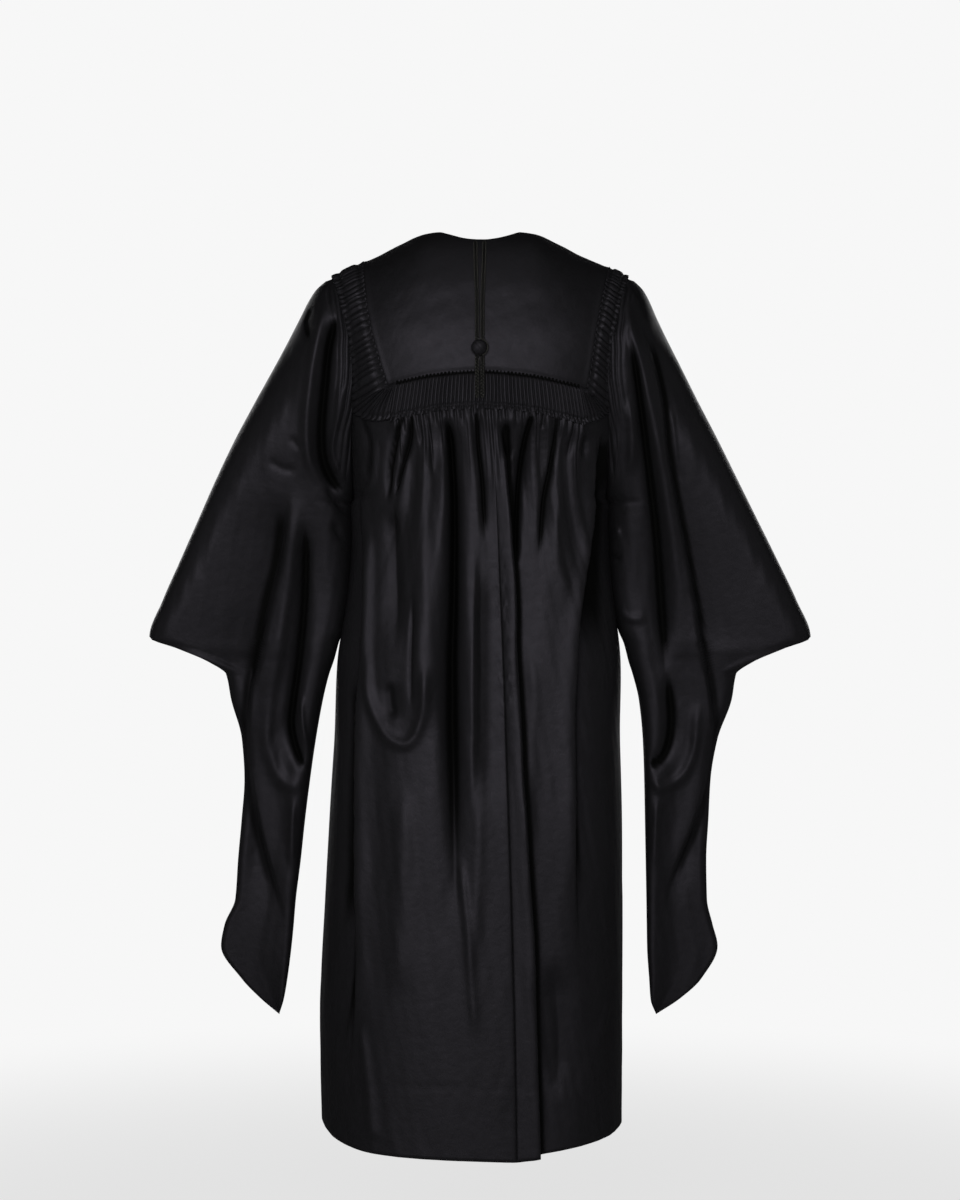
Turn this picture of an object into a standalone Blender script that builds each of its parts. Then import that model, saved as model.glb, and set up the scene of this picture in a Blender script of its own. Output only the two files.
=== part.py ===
"""Master's graduation gown in the form it has when worn, with nobody in it.

Metres, +Z up. The origin lies between the two points where the shoulder seams meet the neck.
The back of the gown faces -Y, the zipped front faces +Y, and -X is the wearer's left.
"""

import math

import bmesh
import bpy
import numpy as np
from mathutils import Vector

BACK, FRONT = -1, 1
LEFT, RIGHT = -1, 1

CLOTH = 0.002
SEAM_GAP = 0.0004
BOXINESS = 2.6
FLAT_PER_RADIAN = 0.195
SHOULDER_ROUNDING = 0.120
NECK_HALF_WIDTH = 0.058
NAPE_DEPTH = 0.065
V_NECK_DROP = 0.100
SHOULDER_TOP = -0.042
YOKE_CORNER = -0.226
FRONT_YOKE_EDGE = -0.140
BAND_HEIGHT = 0.045
BAND_INSET = 0.012
BAND_END = 0.004
SEAM_MEETS_FAN = -0.252
FRONT_STRIP_END = -0.150
FLUTE_HEIGHT = 0.0016
BAND_FLUTES = 50
FRONT_FLUTES, TOP_FLUTES, FAN_FLUTES = 14, 28, 8
GATHER_HEIGHT = 0.0026
BACK_GATHERS, FRONT_GATHERS = 13, 5
FAN_STEPS = 4
BACK_ROWS, FRONT_ROWS = 20, 10
SLEEVE_BACK_COLUMNS, SLEEVE_FRONT_COLUMNS = 14, 6
WRIST_TIP, WRIST_LOW = -0.566, -0.617
WRIST_OPENING = 0.034
ZIP_HALF_WIDTH = 0.0030
ZIP_END = -1.246
CORD_HALF_WIDTH = 0.0033
CORD_HALF_THICKNESS = 0.0018
CORD_TOP, CORD_END = -0.021, -0.243
CORD_MIDDLE = -0.0003
BUTTON_PLACE = (-0.0015, -0.1736)
BUTTON_RADIUS = 0.0105
BUTTON_HEIGHT = 0.0090
SLIDER_HEIGHT = -0.112

ARM_ROWS = (
    (-0.066, -0.088, -0.118, -0.150, -0.184, -0.218, -0.252)
    + (-0.284, -0.312, -0.336, -0.356, -0.370, -0.378)
)
SLEEVE_ROWS = (
    ARM_ROWS
    + (-0.415, -0.455, -0.495, -0.532, -0.566, -0.582, -0.600, -0.617, -0.655)
    + (-0.700, -0.745, -0.790, -0.840, -0.890, -0.940, -1.000, -1.055, -1.096)
)
UNDERARM = -0.378


class Table:
    """Rows of named columns, read smoothly along the first column, which rises."""

    def __init__(self, columns, rows):
        values = np.array(rows, float)
        self.key = values[:, 0]
        self.values = dict(zip(columns.split()[1:], values[:, 1:].T))
        self.slopes = {name: self.level_slopes(column) for name, column in self.values.items()}

    def level_slopes(self, column):
        steps = np.diff(column) / np.diff(self.key)
        slopes = np.zeros(len(column))
        slopes[0], slopes[-1] = steps[0], steps[-1]
        same_way = steps[1:] * steps[:-1] > 0
        total = np.where(same_way, steps[1:] + steps[:-1], 1)
        slopes[1:-1] = np.where(same_way, 2 * steps[1:] * steps[:-1] / total, 0)
        return slopes

    def at(self, name, where):
        where = np.clip(where, self.key[0], self.key[-1])
        low = np.clip(np.searchsorted(self.key, where) - 1, 0, len(self.key) - 2)
        step = self.key[low + 1] - self.key[low]
        t = (where - self.key[low]) / step
        value, slope = self.values[name], self.slopes[name]
        rise = 3 * t**2 - 2 * t**3
        bend = slope[low] * (t**3 - 2 * t**2 + t) + slope[low + 1] * (t**3 - t**2)
        return value[low] * (1 - rise) + value[low + 1] * rise + step * bend


BODY = Table(
    "height half_width back_depth front_depth sway",
    (
        (-1.300, 0.2085, 0.184, 0.170, -0.0105),
        (-1.074, 0.211, 0.178, 0.162, -0.012),
        (-0.934, 0.208, 0.172, 0.155, -0.009),
        (-0.822, 0.205, 0.168, 0.150, -0.006),
        (-0.710, 0.200, 0.162, 0.145, -0.004),
        (-0.600, 0.193, 0.156, 0.139, -0.002),
        (-0.500, 0.180, 0.149, 0.136, 0.000),
        (-0.430, 0.175, 0.145, 0.135, 0.000),
        (-0.378, 0.176, 0.143, 0.135, 0.000),
        (-0.340, 0.180, 0.141, 0.134, 0.000),
        (-0.250, 0.195, 0.138, 0.128, 0.002),
        (-0.160, 0.215, 0.130, 0.115, 0.004),
        (-0.100, 0.235, 0.118, 0.105, 0.004),
        (0.020, 0.240, 0.118, 0.100, 0.004),
    ),
)
SHOULDER = Table(
    "out height",
    (
        (0.000, 0.002),
        (0.058, 0.000),
        (0.075, -0.002),
        (0.110, -0.017),
        (0.141, -0.033),
        (0.180, -0.050),
        (0.205, -0.063),
        (0.222, -0.076),
    ),
)
YOKE_SIDES = Table(
    "height left right",
    (
        (-0.226, 0.1245, 0.1460),
        (-0.205, 0.1320, 0.1505),
        (-0.180, 0.1395, 0.1545),
        (-0.145, 0.1490, 0.1600),
        (-0.100, 0.1570, 0.1690),
        (-0.055, 0.1625, 0.1800),
        (-0.040, 0.1640, 0.1840),
    ),
)
YOKE_EDGE = Table(
    "across height",
    (
        (-0.150, -0.2260),
        (-0.120, -0.2210),
        (-0.060, -0.2100),
        (0.000, -0.2055),
        (0.060, -0.2100),
        (0.120, -0.2210),
        (0.160, -0.2300),
    ),
)
CENTRE_SEAM = Table(
    "height across",
    ((-1.300, 0.050), (-1.150, 0.048), (-0.760, 0.037), (-0.400, 0.023), (-0.250, 0.012)),
)
HEM = Table(
    "turn left right",
    (
        (0.0, -1.263, -1.263),
        (0.5, -1.255, -1.245),
        (1.0, -1.227, -1.236),
        (1.5, -1.240, -1.244),
        (2.0, -1.250, -1.250),
    ),
)

# The armhole seam is straight between these heights, so that every piece sewn to it has the same edge
ARMHOLE = (
    (-0.378, 0.1760),
    (-0.370, 0.1762),
    (-0.356, 0.1764),
    (-0.336, 0.1766),
    (-0.312, 0.1768),
    (-0.284, 0.1765),
    (-0.252, 0.1740),
    (-0.218, 0.1730),
    (-0.184, 0.1745),
    (-0.150, 0.1790),
    (-0.118, 0.1865),
    (-0.088, 0.1950),
    (-0.066, 0.2020),
    (-0.040, 0.2090),
)

# Half thickness is given at the inner and outer edge, and forward is how far the middle lies to +Y
SLEEVES = Table(
    "height left_in left_out right_in right_out thick_in thick_out forward",
    (
        (-1.096, 0.2820, 0.2820, 0.2475, 0.2475, 0.0000, 0.0000, 0.012),
        (-1.074, 0.2750, 0.3080, 0.2390, 0.2810, 0.0060, 0.0060, 0.012),
        (-1.046, 0.2700, 0.3350, 0.2370, 0.3110, 0.0085, 0.0075, 0.012),
        (-1.000, 0.2640, 0.3640, 0.2340, 0.3340, 0.0110, 0.0085, 0.012),
        (-0.970, 0.2610, 0.3590, 0.2335, 0.3270, 0.0125, 0.0095, 0.012),
        (-0.934, 0.2580, 0.3440, 0.2330, 0.3190, 0.0145, 0.0110, 0.012),
        (-0.878, 0.2510, 0.3400, 0.2320, 0.3180, 0.0175, 0.0130, 0.012),
        (-0.822, 0.2450, 0.3350, 0.2310, 0.3210, 0.0210, 0.0155, 0.012),
        (-0.766, 0.2380, 0.3310, 0.2300, 0.3240, 0.0250, 0.0180, 0.012),
        (-0.710, 0.2300, 0.3345, 0.2280, 0.3335, 0.0280, 0.0210, 0.012),
        (-0.654, 0.2200, 0.3495, 0.2225, 0.3535, 0.0290, 0.0250, 0.011),
        (-0.617, 0.2110, 0.3570, 0.2135, 0.3600, 0.0290, 0.0290, 0.010),
        (-0.600, 0.2050, 0.3800, 0.2080, 0.3820, 0.0290, 0.0320, 0.010),
        (-0.582, 0.2000, 0.4220, 0.2035, 0.4240, 0.0290, 0.0360, 0.009),
        (-0.566, 0.1960, 0.4640, 0.1990, 0.4640, 0.0290, 0.0390, 0.009),
        (-0.514, 0.1870, 0.4450, 0.1880, 0.4440, 0.0310, 0.0430, 0.008),
        (-0.458, 0.1820, 0.4200, 0.1830, 0.4170, 0.0380, 0.0460, 0.006),
        (-0.402, 0.1790, 0.3950, 0.1790, 0.3890, 0.0500, 0.0500, 0.004),
        (-0.346, 0.1780, 0.3700, 0.1780, 0.3610, 0.0640, 0.0540, 0.002),
        (-0.290, 0.1780, 0.3430, 0.1780, 0.3330, 0.0800, 0.0580, 0.000),
        (-0.234, 0.1740, 0.3130, 0.1740, 0.3040, 0.0920, 0.0600, 0.000),
        (-0.178, 0.1750, 0.2820, 0.1750, 0.2760, 0.0950, 0.0600, 0.000),
        (-0.122, 0.1855, 0.2520, 0.1855, 0.2470, 0.0820, 0.0540, 0.000),
        (-0.084, 0.1970, 0.2300, 0.1970, 0.2280, 0.0560, 0.0400, 0.000),
        (-0.066, 0.2020, 0.2110, 0.2020, 0.2110, 0.0230, 0.0100, 0.000),
    ),
)

# Large folds: the side that falls away (0 for a plain valley), width, reach, depth, the shares of the
# length over which it fades at the top and at the foot, and its way down as (across, height) points
BACK_FOLDS = (
    (0, 0.010, 0.014, 0.022, 0.1, 0.4, ((-0.036, -0.260), (-0.036, -0.560), (-0.034, -0.980))),
    (1, 0.008, 0.060, 0.026, 0.1, 0, ((0.028, -0.270), (0.050, -0.560), (0.062, -0.770), (0.084, -1.270))),
    (0, 0.008, 0.011, 0.010, 0.1, 0.5, ((0.000, -0.255), (0.010, -0.430))),
    (0, 0.008, 0.012, 0.012, 0.1, 0.5, ((-0.096, -0.275), (-0.114, -0.384), (-0.116, -0.480))),
    (0, 0.008, 0.012, 0.012, 0.1, 0.5, ((0.102, -0.275), (0.080, -0.450))),
    (
        *(1, 0.010, 0.045, 0.018, 0.3, 0.3),
        ((0.156, -0.320), (0.136, -0.560), (0.130, -0.810), (0.134, -1.050)),
    ),
    (
        *(-1, 0.010, 0.045, 0.018, 0.3, 0.3),
        ((-0.166, -0.390), (-0.162, -0.520), (-0.168, -0.800), (-0.168, -1.120)),
    ),
    (0, 0.020, 0.032, 0.012, 0.4, 0.2, ((-0.082, -0.640), (-0.078, -0.900), (-0.072, -1.240))),
)
FRONT_FOLDS = (
    (0, 0.012, 0.022, 0.016, 0.1, 0.2, ((-0.055, -0.175), (-0.062, -0.600), (-0.070, -1.150))),
    (0, 0.012, 0.022, 0.016, 0.1, 0.2, ((0.052, -0.175), (0.060, -0.620), (0.072, -1.180))),
    (0, 0.012, 0.018, 0.012, 0.1, 0.4, ((-0.105, -0.180), (-0.118, -0.450), (-0.124, -0.800))),
    (0, 0.012, 0.018, 0.012, 0.1, 0.4, ((0.100, -0.180), (0.116, -0.420), (0.122, -0.760))),
    (-1, 0.012, 0.045, 0.014, 0.3, 0.2, ((-0.140, -0.420), (-0.146, -0.700), (-0.150, -1.200))),
    (1, 0.012, 0.045, 0.014, 0.3, 0.2, ((0.138, -0.430), (0.144, -0.720), (0.148, -1.200))),
)
LEFT_SLEEVE_FOLDS = (
    (
        *(0, 0.012, 0.012, 0.016, 0.3, 0.3),
        ((0.208, -0.190), (0.214, -0.290), (0.208, -0.345), (0.184, -0.375)),
    ),
    (
        *(0, 0.014, 0.020, 0.018, 0.3, 0.3),
        ((0.252, -0.380), (0.258, -0.514), (0.264, -0.600), (0.258, -0.700), (0.244, -0.742)),
    ),
    (
        *(1, 0.014, 0.060, 0.020, 0.3, 0.2),
        ((0.285, -0.400), (0.300, -0.500), (0.318, -0.600), (0.330, -0.700), (0.322, -0.780)),
    ),
    (1, 0.012, 0.030, 0.006, 0.3, 0.3, ((0.324, -0.760), (0.305, -0.864), (0.272, -0.970))),
)
RIGHT_SLEEVE_FOLDS = (
    (
        *(0, 0.012, 0.014, 0.018, 0.3, 0.3),
        ((0.216, -0.200), (0.236, -0.370), (0.250, -0.478), (0.256, -0.600)),
    ),
    (
        *(0, 0.016, 0.022, 0.018, 0.3, 0.3),
        ((0.282, -0.370), (0.296, -0.470), (0.316, -0.560), (0.328, -0.600)),
    ),
    (
        *(0, 0.012, 0.014, 0.014, 0.3, 0.3),
        ((0.282, -0.650), (0.290, -0.710), (0.276, -0.750), (0.238, -0.768)),
    ),
    (
        *(1, 0.012, 0.040, 0.010, 0.3, 0.3),
        ((0.300, -0.510), (0.320, -0.630), (0.318, -0.740), (0.290, -0.850), (0.256, -0.950)),
    ),
)
PLAIN_SLEEVE_FOLDS = (
    (0, 0.016, 0.020, 0.012, 0.3, 0.3, ((0.220, -0.220), (0.238, -0.380), (0.250, -0.560))),
    (0, 0.018, 0.022, 0.010, 0.3, 0.3, ((0.290, -0.400), (0.300, -0.560), (0.290, -0.700))),
)


def smooth_step(t):
    t = np.clip(t, 0, 1)
    return t * t * (3 - 2 * t)


def quarter_round(t):
    """0 at 0 and 1 from 1 on, along a quarter of a circle that starts upright."""
    return np.sqrt(1 - (1 - np.clip(t, 0, 1)) ** 2)


def side_name(side):
    return "left" if side == LEFT else "right"


def face_name(face):
    return "back" if face == BACK else "front"


def shoulder_height(x):
    return SHOULDER.at("height", np.abs(x))


def seam_out(height):
    """How far out from the middle the armhole seam lies."""
    heights, outs = zip(*ARMHOLE)
    return np.interp(height, heights, outs)


def fullness(x, height):
    """The share of the body's full depth that is left at x, 1 in the middle and 0 at the side."""
    across = np.clip(np.abs(x - BODY.at("sway", height)) / BODY.at("half_width", height), 0, 1)
    return (1 - across**BOXINESS) ** (1 / BOXINESS)


def surface_y(x, height, face):
    """Where the smooth upper body lies, front or back, at x and a height."""
    depth = BODY.at(face_name(face) + "_depth", height) * fullness(x, height)
    return face * depth * quarter_round((shoulder_height(x) - height) / SHOULDER_ROUNDING)


def surface_normal(x, y, height, face):
    """The outward direction of the smooth upper body at one of its points."""

    def level(x, y, height):
        depth = BODY.at(face_name(face) + "_depth", height) * np.maximum(fullness(x, height), 0.05)
        down = np.clip((shoulder_height(x) - height) / SHOULDER_ROUNDING, -1, 1)
        return (y / depth) ** 2 + (1 - down) ** 2

    step = 1e-5
    slope = [
        level(x + step, y, height) - level(x - step, y, height),
        level(x, y + step, height) - level(x, y - step, height),
        level(x, y, height + step) - level(x, y, height - step),
    ]
    normal = np.stack(slope, 1)
    return normal / np.maximum(np.linalg.norm(normal, axis=1), 1e-12)[:, None]


def height_below_shoulder(x, down):
    """The height reached from the shoulder line at x by going this far down over the cloth."""
    quarter = SHOULDER_ROUNDING * math.pi / 2
    curved = SHOULDER_ROUNDING * (1 - np.cos(np.clip(down, 0, quarter) / SHOULDER_ROUNDING))
    return shoulder_height(x) - curved - np.maximum(down - quarter, 0)


def way_down(x, height):
    """The reverse of height_below_shoulder."""
    drop = shoulder_height(x) - height
    quarter = SHOULDER_ROUNDING * math.pi / 2
    curved = SHOULDER_ROUNDING * np.arccos(np.clip(1 - drop / SHOULDER_ROUNDING, 0, 1))
    return np.where(drop > SHOULDER_ROUNDING, quarter + drop - SHOULDER_ROUNDING, curved)


def ring_turn(x, height):
    """The angle round the body's level ring at x, from 0 on the centre line to a quarter turn."""
    across = (x - BODY.at("sway", height)) / BODY.at("half_width", height)
    across = np.clip(across, -1, 1)
    return np.arctan2(across, (1 - np.abs(across) ** BOXINESS) ** (1 / BOXINESS))


def ring_point(turn, height, face):
    """The point of the level ring at an angle, and the outward direction there."""
    half_width = BODY.at("half_width", height)
    depth = BODY.at(face_name(face) + "_depth", height)
    sine, cosine = np.abs(np.sin(turn)), np.abs(np.cos(turn))
    radius = (sine**BOXINESS + cosine**BOXINESS) ** (-1 / BOXINESS)
    across, along = radius * sine * np.sign(turn), radius * cosine
    place = np.stack([BODY.at("sway", height) + half_width * across, face * depth * along, height], 1)
    sideways = np.sign(turn) * np.abs(across) ** (BOXINESS - 1) / half_width
    normal = np.stack([sideways, face * along ** (BOXINESS - 1) / depth, np.zeros(len(turn))], 1)
    return place, normal / np.linalg.norm(normal, axis=1)[:, None]


def nearest_on(points, path):
    """Distance to a path, positive on the +X side of its way down, and the share of its length."""
    best = np.full(len(points), 1e9)
    signed, along = np.zeros(len(points)), np.zeros(len(points))
    lengths = np.linalg.norm(np.diff(path, axis=0), axis=1)
    before = 0
    for start, end, length in zip(path[:-1], path[1:], lengths):
        step = (end - start) / length
        offset = points - start
        t = np.clip(offset @ step, 0, length)
        distance = np.linalg.norm(offset - t[:, None] * step, axis=1)
        side = np.where(offset @ np.array([-step[1], step[0]]) < 0, -1, 1)
        nearer = distance < best
        best[nearer] = distance[nearer]
        signed[nearer] = (side * distance)[nearer]
        along[nearer] = ((before + t) / lengths.sum())[nearer]
        before += length
    return signed, along


def fold_rise(flat, folds, flatten):
    """How far all the folds together move each point of the flat cloth outwards."""
    total = np.zeros(len(flat))
    for falls, width, reach, depth, top, foot, route in folds:
        distance, along = nearest_on(flat, np.array([flatten(*point) for point in route]))
        strength = smooth_step(along / top) if top else 1
        strength = strength * (smooth_step((1 - along) / foot) if foot else 1)
        if falls:
            beyond = distance * falls
            fallen = smooth_step(beyond / width + 0.5) * np.exp(-np.maximum(beyond, 0) / reach)
            lip = 0.25 * np.exp(-(((beyond + width) / (2 * width)) ** 2))
            total += depth * strength * (lip - fallen)
        else:
            spread = width + (reach - width) * along
            total -= depth * strength * np.exp(-((distance / spread) ** 2))
    return total


def flat_on_body(x, height):
    return ring_turn(x, height) * FLAT_PER_RADIAN, height


def flat_on_sleeve(out, height):
    return out, height


def cloth_piece(name, columns, rows, surface, inside, normal=None, raised=None, opened=None):
    """A closed wall of cloth: a grid laid on a surface, thickened inwards, with ribs raised outwards.

    The functions are given each grid corner's column and row, and inside is a point behind the cloth.
    """
    grid = bmesh.new()
    bmesh.ops.create_grid(grid, x_segments=columns, y_segments=rows, size=0.5)
    column = np.array([round((corner.co.x + 0.5) * columns) for corner in grid.verts], float)
    row = np.array([round((0.5 - corner.co.y) * rows) for corner in grid.verts], float)
    number = grid.verts.layers.int.new("number")
    for index, corner in enumerate(grid.verts):
        corner[number] = index
    if opened:
        middles = [(face, face.calc_center_median()) for face in grid.faces]
        gone = [face for face, at in middles if opened((at.x + 0.5) * columns, (0.5 - at.y) * rows)]
        bmesh.ops.delete(grid, geom=gone, context="FACES")
    places = surface(column, row)
    for corner in grid.verts:
        corner.co = places[corner[number]]
    bmesh.ops.remove_doubles(grid, verts=grid.verts, dist=1e-6)
    bmesh.ops.triangulate(grid, faces=grid.faces, quad_method="SHORT_EDGE")
    facing = 0
    for face in grid.faces:
        middle = face.calc_center_median()
        facing += face.calc_area() * face.normal.dot(middle - Vector(inside(middle)))
    if facing < 0:
        bmesh.ops.reverse_faces(grid, faces=grid.faces)
    grid.normal_update()
    outward = np.zeros((len(places), 3))
    for corner in grid.verts:
        outward[corner[number]] = corner.normal
    if normal:
        outward = normal(places, outward, column, row)
    rise = raised(column, row) if raised else np.zeros(len(places))
    made = bmesh.ops.extrude_face_region(grid, geom=grid.faces, use_keep_orig=True)["geom"]
    inner = {item for item in made if isinstance(item, bmesh.types.BMVert)}
    for corner in grid.verts:
        index = corner[number]
        corner.co = places[index] + outward[index] * (-CLOTH if corner in inner else rise[index])
    bmesh.ops.recalc_face_normals(grid, faces=grid.faces)
    return finish_mesh(name, grid)


def finish_mesh(name, mesh, smooth=True):
    data = bpy.data.meshes.new(name)
    for face in mesh.faces:
        face.smooth = smooth
    mesh.to_mesh(data)
    mesh.free()
    made = bpy.data.objects.new(name, data)
    bpy.data.collections["graduation_gown"].objects.link(made)
    return made


def body_middle(at):
    return 0, 0, at.z


def smooth_normal(face):
    """Directions for a piece without folds: those of the smooth body under it."""

    def normal(places, outward, column, row):
        return surface_normal(places[:, 0], places[:, 1], places[:, 2], face)

    return normal


def yoke_side(side, height):
    return side * YOKE_SIDES.at(side_name(side), height)


def yoke_corner(side):
    x = yoke_side(side, YOKE_CORNER)
    return np.array([x, YOKE_EDGE.at("height", x)])


def neckline_down(x):
    """How far down over the cloth from the shoulder line the back neckline lies at x."""
    plan = np.sqrt(np.clip(1 - (x / NECK_HALF_WIDTH) ** 2, 0, 1))
    depth = NAPE_DEPTH * plan / BODY.at("back_depth", 0.0)
    return SHOULDER_ROUNDING * np.arcsin(depth)


def settle(x_at, down, start):
    """x and height where a column crosses a line given as the way down from the shoulder."""
    x = start
    for _ in range(6):
        height = height_below_shoulder(x, down)
        x = x_at(height)
    return x, height_below_shoulder(x, down)


def back_yoke(columns=14, rows=12):
    shoulder_columns = 4
    left, right = yoke_side(LEFT, SHOULDER_TOP), yoke_side(RIGHT, SHOULDER_TOP)

    def surface(column, row):
        neck_columns = columns - 2 * shoulder_columns
        swing = np.clip((column - shoulder_columns) / neck_columns, 0, 1) * math.pi
        start = -NECK_HALF_WIDTH * np.cos(swing)
        out_left = np.clip(1 - column / shoulder_columns, 0, 1)
        out_right = np.clip(1 - (columns - column) / shoulder_columns, 0, 1)
        start = start + out_left * (left + NECK_HALF_WIDTH) + out_right * (right - NECK_HALF_WIDTH)
        share = (start - left) / (right - left)

        def x_at(height):
            inner_left = yoke_side(LEFT, height) + SEAM_GAP / 2
            inner_right = yoke_side(RIGHT, height) - SEAM_GAP / 2
            return inner_left + (inner_right - inner_left) * share

        upper = np.maximum(neckline_down(start), SEAM_GAP / 2)
        foot = start
        for _ in range(6):
            foot = x_at(YOKE_EDGE.at("height", foot))
        lower = way_down(foot, YOKE_EDGE.at("height", foot) + SEAM_GAP / 2)
        x, height = settle(x_at, upper + (lower - upper) * row / rows, start)
        return np.stack([x, surface_y(x, height, BACK), height], 1)

    cloth_piece("yoke_back", columns, rows, surface, body_middle, smooth_normal(BACK))


def front_yoke(side, columns=7, rows=5):
    neck_columns = 2
    edge = abs(yoke_side(side, SHOULDER_TOP))
    centre = ZIP_HALF_WIDTH + SEAM_GAP

    def surface(column, row):
        along_neck = np.clip(column / neck_columns, 0, 1)
        along_shoulder = np.clip((column - neck_columns) / (columns - neck_columns), 0, 1)
        start = centre + (NECK_HALF_WIDTH - centre) * along_neck + (edge - NECK_HALF_WIDTH) * along_shoulder
        share = (start - centre) / (edge - centre)

        def x_at(height):
            outer = abs(yoke_side(side, height)) - SEAM_GAP / 2
            return side * (centre + (outer - centre) * share)

        upper = way_down(side * start, shoulder_height(start) - V_NECK_DROP * (1 - along_neck))
        upper = np.maximum(upper, SEAM_GAP / 2)
        lower = way_down(x_at(FRONT_YOKE_EDGE), FRONT_YOKE_EDGE + SEAM_GAP / 2)
        x, height = settle(x_at, upper + (lower - upper) * row / rows, side * start)
        return np.stack([x, surface_y(x, height, FRONT), height], 1)

    cloth_piece(f"yoke_front_{side_name(side)}", columns, rows, surface, body_middle, smooth_normal(FRONT))


def fan_edge(side, t):
    """The outer edge of the fan of flutes round a yoke corner, from the armhole seam to the band."""
    corner = yoke_corner(side)
    start = np.array([side * (seam_out(SEAM_MEETS_FAN) - SEAM_GAP / 2), SEAM_MEETS_FAN]) - corner
    band_x = corner[0] - side * BAND_END
    end = np.array([band_x, YOKE_EDGE.at("height", band_x) - BAND_HEIGHT]) - corner
    first, last = math.atan2(start[1], abs(start[0])), math.atan2(end[1], end[0] * side)
    turns = np.linspace(first, last, FAN_STEPS + 1)
    radii = np.linspace(np.linalg.norm(start), np.linalg.norm(end), FAN_STEPS + 1)
    steps = np.linspace(0, 1, FAN_STEPS + 1)
    x = np.interp(t, steps, corner[0] + side * radii * np.cos(turns))
    return x, np.interp(t, steps, corner[1] + radii * np.sin(turns))


def flute_rise(column, row):
    return FLUTE_HEIGHT * (column % 2)


def sleeve_strip(side):
    """The fluted strip between yoke and sleeve, over the shoulder from the front to the fan at the back."""
    columns = 2 * (FRONT_FLUTES + TOP_FLUTES + FAN_FLUTES)
    rows = 1

    def strip_point(t, across, face, inner_end, outer_end):
        inner_x, inner_foot = inner_end
        inner_down = t * way_down(inner_x, inner_foot)
        outer_x, outer_foot = outer_end
        outer_down = t * way_down(outer_x, outer_foot)
        start = np.full(len(t), side * 0.17)
        inner_x, _ = settle(lambda height: yoke_side(side, height) + side * SEAM_GAP / 2, inner_down, start)
        outer_x, _ = settle(lambda height: side * (seam_out(height) - SEAM_GAP / 2), outer_down, start)
        x = inner_x + (outer_x - inner_x) * across
        return x, height_below_shoulder(x, inner_down + (outer_down - inner_down) * across)

    def surface(column, row):
        flute = column / 2
        across = row / rows
        face = np.where(flute < FRONT_FLUTES, FRONT, BACK)
        corner = yoke_corner(side)
        front_inner = yoke_side(side, FRONT_YOKE_EDGE), FRONT_YOKE_EDGE
        front_outer = side * seam_out(FRONT_STRIP_END), FRONT_STRIP_END
        back_outer = side * seam_out(SEAM_MEETS_FAN), SEAM_MEETS_FAN
        t_front = np.clip(1 - flute / FRONT_FLUTES, 0, 1)
        x_front, height_front = strip_point(t_front, across, FRONT, front_inner, front_outer)
        t_back = np.clip((flute - FRONT_FLUTES) / TOP_FLUTES, 0, 1)
        x_back, height_back = strip_point(t_back, across, BACK, tuple(corner), back_outer)
        t_fan = np.clip((flute - FRONT_FLUTES - TOP_FLUTES) / FAN_FLUTES, 0, 1)
        fan_x, fan_height = fan_edge(side, t_fan)
        inner_x = corner[0] + side * SEAM_GAP / 2 - side * (BAND_INSET + SEAM_GAP / 2) * t_fan
        inner_height = YOKE_EDGE.at("height", inner_x) - SEAM_GAP / 2
        in_fan = flute > FRONT_FLUTES + TOP_FLUTES
        x = np.where(face == FRONT, x_front, np.where(in_fan, inner_x + (fan_x - inner_x) * across, x_back))
        fan_down = inner_height + (fan_height - inner_height) * across
        height = np.where(face == FRONT, height_front, np.where(in_fan, fan_down, height_back))
        y = np.where(face == FRONT, surface_y(x, height, FRONT), surface_y(x, height, BACK))
        return np.stack([x, y, height], 1)

    def normal(places, outward, column, row):
        front = surface_normal(*places.T, FRONT)
        back = surface_normal(*places.T, BACK)
        return np.where((column / 2 < FRONT_FLUTES)[:, None], front, back)

    name = f"sleeve_fluting_{side_name(side)}"
    cloth_piece(name, columns, rows, surface, body_middle, normal, flute_rise)


def back_band():
    """The fluted band under the back yoke."""
    columns = 2 * BAND_FLUTES
    rows = 1

    def surface(column, row):
        ends = []
        for side in (LEFT, RIGHT):
            corner = yoke_corner(side)
            top_x = corner[0] - side * (BAND_INSET + SEAM_GAP)
            low_x = corner[0] - side * (BAND_END + SEAM_GAP)
            ends.append(top_x + (low_x - top_x) * row / rows)
        x = ends[0] + (ends[1] - ends[0]) * column / columns
        height = YOKE_EDGE.at("height", x) - SEAM_GAP / 2 - (BAND_HEIGHT - SEAM_GAP) * row / rows
        return np.stack([x, surface_y(x, height, BACK), height], 1)

    cloth_piece("fluting_back", columns, rows, surface, body_middle, smooth_normal(BACK), flute_rise)


def back_top(side, column):
    """The upper edge of a back panel: below the band, round the fan, then down the armhole."""
    band_columns = 2 * BACK_GATHERS
    fan_x, fan_height = fan_edge(side, np.clip(1 - (column - band_columns) / FAN_STEPS, 0, 1))
    arm_rows = [height for height in SLEEVE_ROWS if UNDERARM <= height <= SEAM_MEETS_FAN]
    arm_height = np.interp(column - band_columns - FAN_STEPS, range(len(arm_rows)), arm_rows)
    arm_x = side * (seam_out(arm_height) - SEAM_GAP / 2)
    band_end, _ = fan_edge(side, 1.0)
    start = CENTRE_SEAM.at("across", -0.250) + side * SEAM_GAP / 2
    band_x = start + (band_end - start) * np.clip(column / band_columns, 0, 1)
    band_height = YOKE_EDGE.at("height", band_x) - BAND_HEIGHT
    in_band, in_fan = column <= band_columns, column <= band_columns + FAN_STEPS
    x = np.where(in_band, band_x, np.where(in_fan, fan_x, arm_x))
    height = np.where(in_band, band_height, np.where(in_fan, fan_height, arm_height))
    return x, height - SEAM_GAP


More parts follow.
